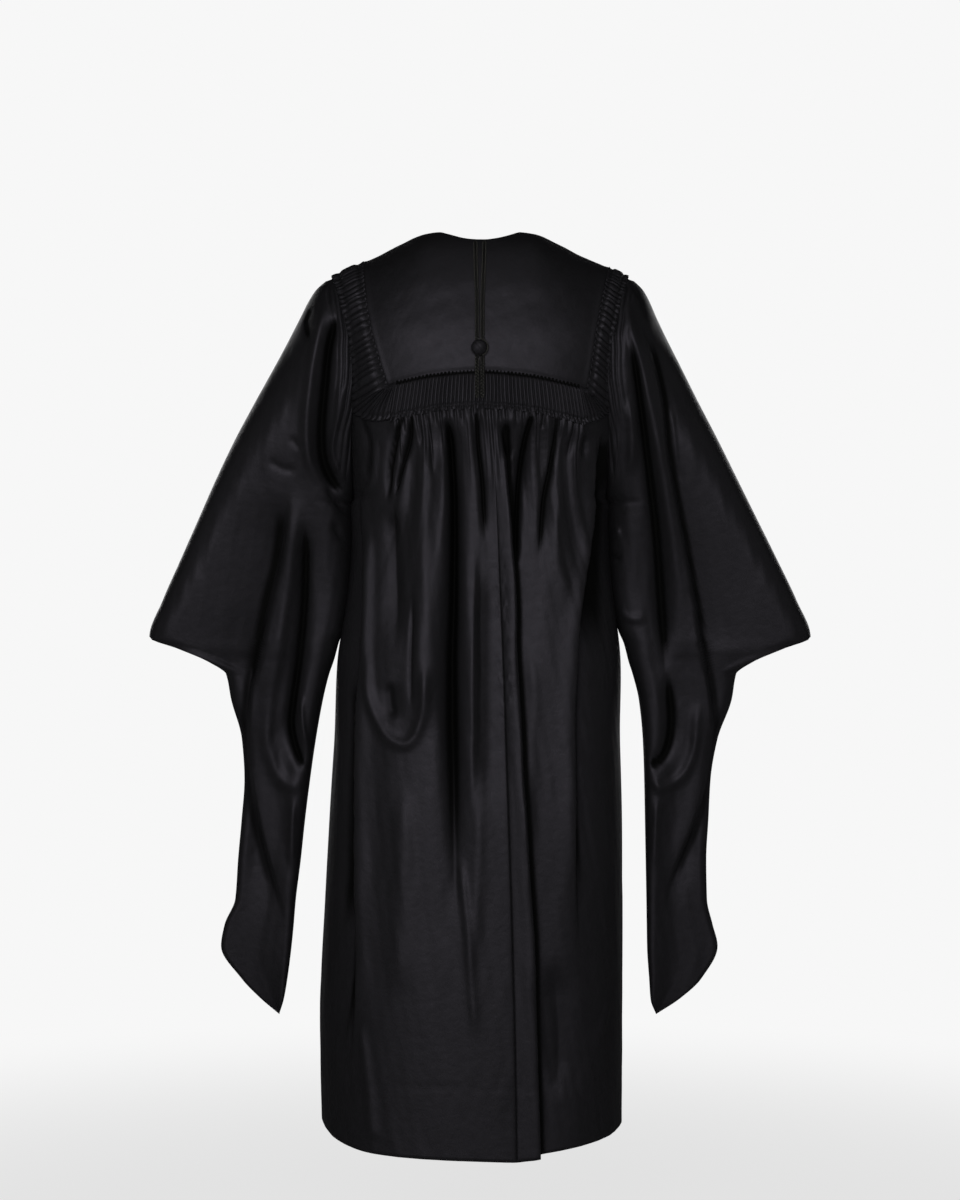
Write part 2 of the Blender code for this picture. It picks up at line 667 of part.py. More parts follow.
def front_top(side, column):
    """The upper edge of a front panel: below the yoke and the strip, then down the armhole."""
    yoke_columns = 2 * FRONT_GATHERS
    arm_rows = [height for height in SLEEVE_ROWS if UNDERARM <= height <= FRONT_STRIP_END]
    arm_height = np.interp(column - yoke_columns - 1, range(len(arm_rows)), arm_rows)
    arm_x = side * (seam_out(arm_height) - SEAM_GAP / 2)
    start = side * (ZIP_HALF_WIDTH + SEAM_GAP)
    yoke_x = start + (yoke_side(side, FRONT_YOKE_EDGE) - start) * np.clip(column / yoke_columns, 0, 1)
    in_yoke = column <= yoke_columns
    return np.where(in_yoke, yoke_x, arm_x), np.where(in_yoke, FRONT_YOKE_EDGE, arm_height) - SEAM_GAP


def back_centre(side, height):
    return CENTRE_SEAM.at("across", height) + side * SEAM_GAP / 2


def front_centre(side, height):
    return side * (ZIP_HALF_WIDTH + SEAM_GAP) + 0 * height


def body_panel(name, side, face, columns, rows, top, centre, folds, gathers):
    def share_of(column):
        return column / columns

    def fall(column, row):
        top_x, top_height = top(side, column)
        share = share_of(column)
        foot = HEM.at(side_name(side), share if face == BACK else 2 - share)
        return top_x, top_height, top_height + (foot - top_height) * (row / rows) ** 1.25

    def turn_of(column, row):
        top_x, top_height, height = fall(column, row)
        share = share_of(column)
        middle = ring_turn(centre(side, height), height)
        side_seam = side * (math.pi / 2 - SEAM_GAP / 2 / BODY.at(face_name(face) + "_depth", height))
        ease = smooth_step((top_height - height) / 0.45)
        start_x, start_height = top(side, np.zeros(len(column)))
        start = ring_turn(start_x, start_height)
        top_share = (ring_turn(top_x, top_height) - start) / (side_seam - start)
        top_share = np.where(share == 1, 1, top_share)
        return middle + (side_seam - middle) * (top_share + (share - top_share) * ease), height

    def surface(column, row):
        turn, height = turn_of(column, row)
        place, outward = ring_point(turn, height, face)
        flat = np.stack([turn * FLAT_PER_RADIAN, height], 1)
        rise = fold_rise(flat, folds, flat_on_body)
        share = share_of(column)
        rise = rise * smooth_step((1 - share) / 0.06)
        if face == FRONT:
            rise = rise * smooth_step(share / 0.06)
        top_x, top_height = top(side, column)
        rise = rise * smooth_step((top_height - height) / 0.03)
        return place + outward * rise[:, None]

    def normal(places, outward, column, row):
        turn, height = turn_of(column, row)
        _, plain = ring_point(turn, height, face)
        edge = (column == 0) | (column == columns) | (row == 0)
        return np.where(edge[:, None], plain, outward)

    def raised(column, row):
        _, top_height, height = fall(column, row)
        reach = 0.10 + 0.08 * np.abs(np.sin(1.7 * column))
        fade = smooth_step(1 - (top_height - height) / reach)
        return GATHER_HEIGHT * (column % 2) * fade * (column < 2 * gathers)

    cloth_piece(name, columns, rows, surface, body_middle, normal, raised)


def body_panels(side):
    arm_rows = [height for height in SLEEVE_ROWS if UNDERARM <= height <= SEAM_MEETS_FAN]
    columns = 2 * BACK_GATHERS + FAN_STEPS + len(arm_rows) - 1
    name = f"back_panel_{side_name(side)}"
    body_panel(name, side, BACK, columns, BACK_ROWS, back_top, back_centre, BACK_FOLDS, BACK_GATHERS)
    arm_rows = [height for height in SLEEVE_ROWS if UNDERARM <= height <= FRONT_STRIP_END]
    columns = 2 * FRONT_GATHERS + len(arm_rows)
    name = f"front_panel_{side_name(side)}"
    body_panel(name, side, FRONT, columns, FRONT_ROWS, front_top, front_centre, FRONT_FOLDS, FRONT_GATHERS)


def sleeve(side):
    """One sleeve: pleated into the armhole, a forearm with the wrist opening, and a long closed point."""
    columns = SLEEVE_BACK_COLUMNS + SLEEVE_FRONT_COLUMNS + 1
    rows = len(SLEEVE_ROWS) - 1
    name = side_name(side)
    back_folds = LEFT_SLEEVE_FOLDS if side == LEFT else RIGHT_SLEEVE_FOLDS

    def surface(column, row):
        height = np.interp(row, range(rows + 1), SLEEVE_ROWS)
        on_back = column <= SLEEVE_BACK_COLUMNS + 0.5
        share = np.where(on_back, column / SLEEVE_BACK_COLUMNS, (columns - column) / SLEEVE_FRONT_COLUMNS)
        across = 0.992 * (share - 0.10 * np.sin(2 * math.pi * share))
        face = np.where(on_back, BACK, FRONT)
        below = height <= UNDERARM
        seam = seam_out(height) + SEAM_GAP
        inner = np.where(below, SLEEVES.at(f"{name}_in", height), seam)
        outer = SLEEVES.at(f"{name}_out", height)
        width = outer - inner
        out = inner + width * across
        front_seam = surface_y(side * seam_out(height), height, FRONT)
        back_seam = surface_y(side * seam_out(height), height, BACK)
        seam_depth = np.where(below, 0, np.where(on_back, -back_seam, front_seam))
        thick_in, thick_out = SLEEVES.at("thick_in", height), SLEEVES.at("thick_out", height)
        middle = thick_in + (thick_out - thick_in) * smooth_step(across)
        wrist = np.clip((WRIST_TIP - height) / (WRIST_TIP - WRIST_LOW), 0, 1)
        rim = WRIST_OPENING * np.sin(math.pi * wrist) ** 0.6
        from_inner = width * across / np.maximum(thick_in, 1e-3)
        from_outer = width * (1 - across) / np.maximum(thick_out, 1e-3)
        grown = np.where(seam_depth > middle, smooth_step(from_inner), quarter_round(from_inner))
        closing = quarter_round(from_outer)
        half = middle * grown * closing + seam_depth * (1 - grown) + rim * (1 - closing)
        flat = np.stack([out, height], 1)
        rise = np.where(
            on_back,
            fold_rise(flat, back_folds, flat_on_sleeve),
            fold_rise(flat, PLAIN_SLEEVE_FOLDS, flat_on_sleeve),
        )
        edge = smooth_step(width * across / 0.02) * smooth_step(width * (1 - across) / 0.03)
        least = np.minimum(half, 0.0045)
        half = np.maximum(half + rise * edge, least)
        forward = SLEEVES.at("forward", height) * smooth_step(across * 2)
        places = np.stack([side * out, forward + face * half, height], 1)
        over = column / columns * math.pi
        top_y = np.cos(over) * surface_y(side * seam_out(SLEEVE_ROWS[0]), SLEEVE_ROWS[0], BACK)
        top_height = SLEEVE_ROWS[0] + 0.003 * np.sin(over)
        top = np.stack([side * (seam_out(top_height) + SEAM_GAP), top_y, top_height], 1)
        places = np.where((row == 0)[:, None], top, places)
        foot = [side * SLEEVES.at(f"{name}_in", SLEEVE_ROWS[-1]), SLEEVES.at("forward", SLEEVE_ROWS[-1])]
        return np.where((row == rows)[:, None], np.array([*foot, SLEEVE_ROWS[-1]]), places)

    def inside(at):
        middle = (SLEEVES.at(f"{name}_in", at.z) + SLEEVES.at(f"{name}_out", at.z)) / 2
        return side * middle, SLEEVES.at("forward", at.z), at.z

    def normal(places, outward, column, row):
        face = np.where(places[:, 1] < 0, BACK, FRONT)
        front = surface_normal(*places.T, FRONT)
        back = surface_normal(*places.T, BACK)
        seam = np.where((face == FRONT)[:, None], front, back)
        edge = (row == 0) | (column == 0) | (column == columns)
        share = edge * smooth_step((places[:, 2] + 0.16) / 0.05)
        mixed = seam * share[:, None] + outward * (1 - share[:, None])
        return mixed / np.maximum(np.linalg.norm(mixed, axis=1), 1e-9)[:, None]

    def opened(column, row):
        height = np.interp(row, range(rows + 1), SLEEVE_ROWS)
        return int(column) == SLEEVE_BACK_COLUMNS and WRIST_LOW < height < WRIST_TIP

    cloth_piece(f"sleeve_{name}", columns, rows, surface, inside, normal, None, opened)


def cord(side, around=8, rows=16):
    """One of the two braided cords sewn side by side down the back yoke."""
    loop = bmesh.new()
    bmesh.ops.create_grid(loop, x_segments=around, y_segments=rows, size=0.5)
    for corner in loop.verts:
        turn = (corner.co.x + 0.5) * 2 * math.pi
        share = 0.5 - corner.co.y
        height = CORD_TOP + (CORD_END - CORD_TOP) * share
        apart = 0.0036 + 0.0024 * float(smooth_step((height + 0.12) / 0.09))
        x = CORD_MIDDLE + side * apart + CORD_HALF_WIDTH * math.cos(turn) * (0 < share < 1)
        thick = CORD_HALF_THICKNESS * (0 < share < 1)
        over_flutes = FLUTE_HEIGHT * float(smooth_step((-0.186 - height) / 0.010))
        lift = 0.0004 + over_flutes + CORD_HALF_THICKNESS + thick * math.sin(turn)
        under = Vector((x, float(surface_y(x, height, BACK)), height))
        out = Vector(surface_normal(*(np.array([value]) for value in under), BACK)[0])
        corner.co = under + out * lift
    bmesh.ops.remove_doubles(loop, verts=loop.verts, dist=1e-6)
    bmesh.ops.recalc_face_normals(loop, faces=loop.faces)
    finish_mesh(f"cord_{side_name(side)}", loop)


def button():
    """The cloth-covered button over the cords."""
    ball = bmesh.new()
    bmesh.ops.create_uvsphere(ball, u_segments=16, v_segments=8, radius=1.0)
    x, height = BUTTON_PLACE
    surface = float(surface_y(x, height, BACK))
    under = surface - 0.0004 - 2 * CORD_HALF_THICKNESS - 0.0008
    for corner in ball.verts:
        out = corner.co.z
        bulge = out * 0.8 if out > 0 else out * 0.2
        corner.co = (
            x + corner.co.x * BUTTON_RADIUS,
            under - BUTTON_HEIGHT * (0.2 + bulge),
            height + corner.co.y * BUTTON_RADIUS,
        )
    bmesh.ops.recalc_face_normals(ball, faces=ball.faces)
    finish_mesh("button", ball)


def zip_strip(rows=20):
    """The closed zip down the front, a strip with its coil raised along the middle."""
    columns = 3
    start, end = -V_NECK_DROP - 0.001, ZIP_END

    def surface(column, row):
        x = ZIP_HALF_WIDTH * (2 * column / columns - 1)
        height = start + (end - start) * row / rows
        return np.stack([x, surface_y(x, height, FRONT), height], 1)

    def raised(column, row):
        return 0.0012 * ((column > 0) & (column < columns))

    cloth_piece("zip", columns, rows, surface, body_middle, smooth_normal(FRONT), raised)


def ring_body(name, outer, inner, place):
    """A closed body with a hole through it, from matching outer and inner loops of three numbers."""
    count = len(outer)
    loop = bmesh.new()
    bmesh.ops.create_grid(loop, x_segments=4, y_segments=count, size=0.5)
    for corner in loop.verts:
        turn = round((corner.co.x + 0.5) * 4) % 4
        along = round((0.5 - corner.co.y) * count) % count
        across, up, half = outer[along] if turn in (0, 1) else inner[along]
        corner.co = place(across, up, half if turn in (0, 3) else -half)
    bmesh.ops.remove_doubles(loop, verts=loop.verts, dist=1e-6)
    bmesh.ops.recalc_face_normals(loop, faces=loop.faces)
    return finish_mesh(name, loop, smooth=False)


def zip_pull():
    """The slider on the zip, and the tab that swings on its bridge."""
    surface = float(surface_y(0.0, SLIDER_HEIGHT, FRONT)) + 0.0016
    lower = float(surface_y(0.0, SLIDER_HEIGHT - 0.03, FRONT)) + 0.0016
    lean = math.atan2(lower - surface, 0.03)
    down = Vector((0, math.sin(lean), -math.cos(lean)))
    out = Vector((0, math.cos(lean), math.sin(lean)))
    seat = Vector((0, surface, SLIDER_HEIGHT))
    outer = (
        (-0.0060, 0.0000, 0.0040),
        (0.0060, 0.0000, 0.0040),
        (0.0060, 0.0036, 0.0040),
        (0.0058, 0.0044, 0.0019),
        (0.0046, 0.0085, 0.0018),
        (-0.0046, 0.0085, 0.0018),
        (-0.0058, 0.0044, 0.0019),
        (-0.0060, 0.0036, 0.0040),
    )
    inner = (
        (-0.0030, 0.0040, 0.0036),
        (0.0030, 0.0040, 0.0036),
        (0.0032, 0.0042, 0.0034),
        (0.0034, 0.0047, 0.0019),
        (0.0030, 0.0073, 0.0018),
        (-0.0030, 0.0073, 0.0018),
        (-0.0034, 0.0047, 0.0019),
        (-0.0032, 0.0042, 0.0034),
    )

    def on_slider(along, up, half):
        return seat + down * along + out * up + Vector((half, 0, 0))

    ring_body("zip_slider", outer, inner, on_slider)
    hinge = seat + out * 0.0059
    tab_outer = (
        (-0.0040, -0.0010),
        (0.0040, -0.0010),
        (0.0040, 0.0300),
        (0.0028, 0.0320),
        (-0.0028, 0.0320),
        (-0.0040, 0.0300),
    )
    tab_inner = (
        (-0.0026, 0.0008),
        (0.0026, 0.0008),
        (0.0026, 0.0100),
        (0.0014, 0.0105),
        (-0.0014, 0.0105),
        (-0.0026, 0.0100),
    )
    half = 0.0006
    tab = ring_body(
        "zip_pull_tab",
        [(*point, half) for point in tab_outer],
        [(*point, half) for point in tab_inner],
        lambda across, along, up: down * along + out * up + Vector((across, 0, 0)),
    )
    tab.location = hinge


def colour(made, name, shade, roughness, metallic=0.0):
    material = bpy.data.materials.new(name)
    material.use_nodes = True
    shader = material.node_tree.nodes["Principled BSDF"]
    shader.inputs["Base Color"].default_value = (*shade, 1)
    shader.inputs["Roughness"].default_value = roughness
    shader.inputs["Metallic"].default_value = metallic
    material.diffuse_color = (*shade, 1)
    made.data.materials.append(material)


def main():
    for old in list(bpy.data.objects):
        bpy.data.objects.remove(old, do_unlink=True)
    group = bpy.data.collections.new("graduation_gown")
    bpy.context.scene.collection.children.link(group)
    back_yoke()
    back_band()
    for side in (LEFT, RIGHT):
        front_yoke(side)
        sleeve_strip(side)
        body_panels(side)
        sleeve(side)
        cord(side)
    button()
    zip_strip()
    zip_pull()
    for index, made in enumerate(group.objects):
        metal = made.name.startswith("zip_")
        shade = 0.020 + 0.002 * (index % 3)
        colour(made, made.name, (shade, shade, shade * 1.15), 0.3 if metal else 0.6, 1.0 if metal else 0.0)


main()
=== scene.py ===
"""Looks of a master's graduation gown: thin satin shells, braided cords, a covered button and a zip.

Metres, +Z up. The back of the gown faces -Y, the zipped front faces +Y, and -X is the gown's left.
"""

import math

import bmesh
import bpy
import numpy as np
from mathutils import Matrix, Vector


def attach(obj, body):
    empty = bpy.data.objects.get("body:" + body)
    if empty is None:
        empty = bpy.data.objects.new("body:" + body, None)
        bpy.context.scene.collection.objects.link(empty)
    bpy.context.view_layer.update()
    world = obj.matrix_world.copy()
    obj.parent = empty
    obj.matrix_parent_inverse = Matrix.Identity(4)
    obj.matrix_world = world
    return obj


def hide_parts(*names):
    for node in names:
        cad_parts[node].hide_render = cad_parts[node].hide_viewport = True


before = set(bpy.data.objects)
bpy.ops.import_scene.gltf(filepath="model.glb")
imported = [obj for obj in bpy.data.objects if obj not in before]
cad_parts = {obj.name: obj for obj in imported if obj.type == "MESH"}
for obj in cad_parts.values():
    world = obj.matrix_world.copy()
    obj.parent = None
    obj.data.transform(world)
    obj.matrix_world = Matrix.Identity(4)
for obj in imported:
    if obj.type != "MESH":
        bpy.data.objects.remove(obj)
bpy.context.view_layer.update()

BACK, FRONT = -1, 1
LEFT, RIGHT = -1, 1

WALL = 0.0009
TUCK = 0.0020
SEAM_GAP = 0.0004
STITCHES_IN = 0.006
HEM_PUCKER = 0.0007
BOXINESS = 2.6
FLAT_PER_RADIAN = 0.195
SHOULDER_ROUNDING = 0.120
SHOULDER_QUARTER = SHOULDER_ROUNDING * math.pi / 2
NECK_HALF_WIDTH = 0.058
NAPE_DEPTH = 0.065
V_NECK_DROP = 0.100
SHOULDER_TOP = -0.042
FRONT_YOKE_EDGE = -0.140
YOKE_CORNER = -0.226
BAND_HEIGHT = 0.045
BAND_INSET = 0.012
BAND_END = 0.004
SEAM_MEETS_FAN = -0.252
FRONT_STRIP_END = -0.150
BAND_OVERLAP, STRIP_OVERLAP = 0.0060, 0.0035
FLUTE_HEIGHT = 0.0032
BAND_FLUTES = 50
FRONT_FLUTES, TOP_FLUTES, FAN_FLUTES = 14, 28, 8
BACK_GATHERS, FRONT_GATHERS = 13, 5
FAN_STEPS = 4
SLEEVE_BACK_COLUMNS, SLEEVE_FRONT_COLUMNS = 14, 6
SLEEVE_TOP, UNDERARM, SLEEVE_FOOT = -0.066, -0.378, -1.096
WRIST_TIP, WRIST_LOW = -0.566, -0.617
WRIST_OPENING = 0.034
SLEEVE_OVERHANG = 0.0032
SIDE_BULGE = {LEFT: 0.0048, RIGHT: 0.0062}
LEAST_SLEEVE_HALF = 0.0045
ARM_ROWS = (-0.150, -0.184, -0.218, -0.252, -0.284, -0.312, -0.336, -0.356, -0.370, -0.378)
ZIP_HALF_WIDTH = 0.0030
ZIP_EDGE = ZIP_HALF_WIDTH - 0.0008
ZIP_TOP, ZIP_END = -0.101, -1.246
TAPE_HALF_WIDTH, TAPE_THICKNESS = 0.0050, 0.0007
TOOTH_SIZE = (0.0021, 0.0011, 0.00085)
TOOTH_OUT, TOOTH_PITCH = 0.00062, 0.00140
HEM_LINE = -1.164
CORD_TOP, CORD_END = -0.021, -0.243
CORD_MIDDLE = -0.0003
CORD_APART, CORD_SPREAD = 0.0036, 0.0024
PLAIT_LENGTH = 0.0135
STRAND_RADIUS, STRAND_SWING, STRAND_LIFT = 0.00092, 0.0023, 0.0013
LOOP_RADIUS, LOOP_STRAND = 0.0118, 0.00085
BUTTON_PLACE = (-0.0015, -0.1736)
BUTTON_RADIUS, BUTTON_HEIGHT, BUTTON_SEAT = 0.0105, 0.0090, 0.0048
BUTTON_PLEATS = 18
CAMERA_PLACE = (0.0, -3.6, -0.514)
CAMERA_LENS = 77.1
LIGHTS_AIM = (0, 0, -0.55)
FLOOR_HEIGHT, FLOOR_RADIUS, BACKDROP_RADIUS = -1.45, 8.9, 9.0
PALE_GLOW = (0.93, 0.93, 0.93, 1)


class Table:
    """Rows of named columns, read smoothly along the first column, which rises."""

    def __init__(self, columns, rows):
        values = np.array(rows, float)
        self.key = values[:, 0]
        self.values = dict(zip(columns.split()[1:], values[:, 1:].T))
        self.slopes = {name: self.level_slopes(column) for name, column in self.values.items()}

    def level_slopes(self, column):
        steps = np.diff(column) / np.diff(self.key)
        slopes = np.zeros(len(column))
        slopes[0], slopes[-1] = steps[0], steps[-1]
        same_way = steps[1:] * steps[:-1] > 0
        total = np.where(same_way, steps[1:] + steps[:-1], 1)
        slopes[1:-1] = np.where(same_way, 2 * steps[1:] * steps[:-1] / total, 0)
        return slopes

    def at(self, name, where):
        where = np.clip(where, self.key[0], self.key[-1])
        low = np.clip(np.searchsorted(self.key, where) - 1, 0, len(self.key) - 2)
        step = self.key[low + 1] - self.key[low]
        t = (where - self.key[low]) / step
        value, slope = self.values[name], self.slopes[name]
        rise = 3 * t**2 - 2 * t**3
        bend = slope[low] * (t**3 - 2 * t**2 + t) + slope[low + 1] * (t**3 - t**2)
        return value[low] * (1 - rise) + value[low + 1] * rise + step * bend


BODY = Table(
    "height half_width back_depth front_depth sway",
    (
        (-1.300, 0.2085, 0.184, 0.170, -0.0105),
        (-1.074, 0.211, 0.178, 0.162, -0.012),
        (-0.934, 0.208, 0.172, 0.155, -0.009),
        (-0.822, 0.205, 0.168, 0.150, -0.006),
        (-0.710, 0.200, 0.162, 0.145, -0.004),
        (-0.600, 0.193, 0.156, 0.139, -0.002),
        (-0.500, 0.180, 0.149, 0.136, 0.000),
        (-0.430, 0.175, 0.145, 0.135, 0.000),
        (-0.378, 0.176, 0.143, 0.135, 0.000),
        (-0.340, 0.180, 0.141, 0.134, 0.000),
        (-0.250, 0.195, 0.138, 0.128, 0.002),
        (-0.160, 0.215, 0.1300, 0.115, 0.004),
        (-0.100, 0.235, 0.1205, 0.105, 0.004),
        (0.020, 0.240, 0.118, 0.100, 0.004),
    ),
)
SHOULDER = Table(
    "out height",
    (
        (0.000, 0.002),
        (0.058, 0.000),
        (0.075, -0.002),
        (0.110, -0.017),
        (0.141, -0.033),
        (0.180, -0.050),
        (0.205, -0.063),
        (0.222, -0.076),
    ),
)
YOKE_SIDES = Table(
    "height left right",
    (
        (-0.226, 0.1245, 0.1460),
        (-0.205, 0.1320, 0.1505),
        (-0.180, 0.1395, 0.1545),
        (-0.145, 0.1490, 0.1600),
        (-0.100, 0.1570, 0.1690),
        (-0.055, 0.1625, 0.1800),
        (-0.040, 0.1640, 0.1840),
    ),
)
YOKE_EDGE = Table(
    "across height",
    (
        (-0.150, -0.2260),
        (-0.120, -0.2210),
        (-0.060, -0.2100),
        (0.000, -0.2055),
        (0.060, -0.2100),
        (0.120, -0.2210),
        (0.160, -0.2300),
    ),
)
CENTRE_SEAM = Table(
    "height across",
    ((-1.300, 0.050), (-1.150, 0.048), (-0.760, 0.037), (-0.400, 0.023), (-0.250, 0.012)),
)
HEM = Table(
    "turn left right",
    (
        (0.0, -1.263, -1.263),
        (0.5, -1.255, -1.245),
        (1.0, -1.227, -1.236),
        (1.5, -1.240, -1.244),
        (2.0, -1.250, -1.250),
    ),
)
ARMHOLE = (
    (-0.378, 0.1760),
    (-0.370, 0.1762),
    (-0.356, 0.1764),
    (-0.336, 0.1766),
    (-0.312, 0.1768),
    (-0.284, 0.1765),
    (-0.252, 0.1740),
    (-0.218, 0.1730),
    (-0.184, 0.1745),
    (-0.150, 0.1790),
    (-0.118, 0.1865),
    (-0.088, 0.1950),
    (-0.066, 0.2020),
    (-0.040, 0.2090),
)
SLEEVES = Table(
    "height left_in left_out right_in right_out thick_in thick_out forward",
    (
        (-1.096, 0.2820, 0.2820, 0.2475, 0.2475, 0.0000, 0.0000, 0.012),
        (-1.074, 0.2750, 0.3080, 0.2390, 0.2810, 0.0060, 0.0060, 0.012),
        (-1.046, 0.2700, 0.3350, 0.2370, 0.3110, 0.0085, 0.0075, 0.012),
        (-1.000, 0.2640, 0.3640, 0.2340, 0.3340, 0.0110, 0.0085, 0.012),
        (-0.970, 0.2610, 0.3590, 0.2335, 0.3270, 0.0125, 0.0095, 0.012),
        (-0.934, 0.2580, 0.3440, 0.2330, 0.3190, 0.0145, 0.0110, 0.012),
        (-0.878, 0.2510, 0.3400, 0.2320, 0.3180, 0.0175, 0.0130, 0.012),
        (-0.822, 0.2450, 0.3350, 0.2310, 0.3210, 0.0210, 0.0155, 0.012),
        (-0.766, 0.2380, 0.3310, 0.2300, 0.3240, 0.0250, 0.0180, 0.012),
        (-0.710, 0.2300, 0.3345, 0.2280, 0.3335, 0.0280, 0.0210, 0.012),
        (-0.654, 0.2200, 0.3495, 0.2225, 0.3535, 0.0290, 0.0250, 0.011),
        (-0.617, 0.2110, 0.3570, 0.2135, 0.3600, 0.0290, 0.0290, 0.010),
        (-0.600, 0.2050, 0.3800, 0.2080, 0.3820, 0.0290, 0.0320, 0.010),
        (-0.582, 0.2000, 0.4220, 0.2035, 0.4240, 0.0290, 0.0360, 0.009),
        (-0.566, 0.1960, 0.4640, 0.1990, 0.4640, 0.0290, 0.0390, 0.009),
        (-0.514, 0.1870, 0.4450, 0.1880, 0.4440, 0.0310, 0.0430, 0.008),
        (-0.458, 0.1820, 0.4200, 0.1830, 0.4170, 0.0380, 0.0460, 0.006),
        (-0.402, 0.1790, 0.3950, 0.1790, 0.3890, 0.0500, 0.0500, 0.004),
        (-0.346, 0.1780, 0.3700, 0.1780, 0.3610, 0.0640, 0.0540, 0.002),
        (-0.290, 0.1780, 0.3430, 0.1780, 0.3330, 0.0800, 0.0580, 0.000),
        (-0.234, 0.1740, 0.3130, 0.1740, 0.3040, 0.0920, 0.0600, 0.000),
        (-0.178, 0.1750, 0.2820, 0.1750, 0.2760, 0.0950, 0.0600, 0.000),
        (-0.122, 0.1855, 0.2520, 0.1855, 0.2470, 0.0820, 0.0540, 0.000),
        (-0.084, 0.1970, 0.2300, 0.1970, 0.2280, 0.0560, 0.0400, 0.000),
        (-0.066, 0.2020, 0.2110, 0.2020, 0.2110, 0.0230, 0.0100, 0.000),
    ),
)

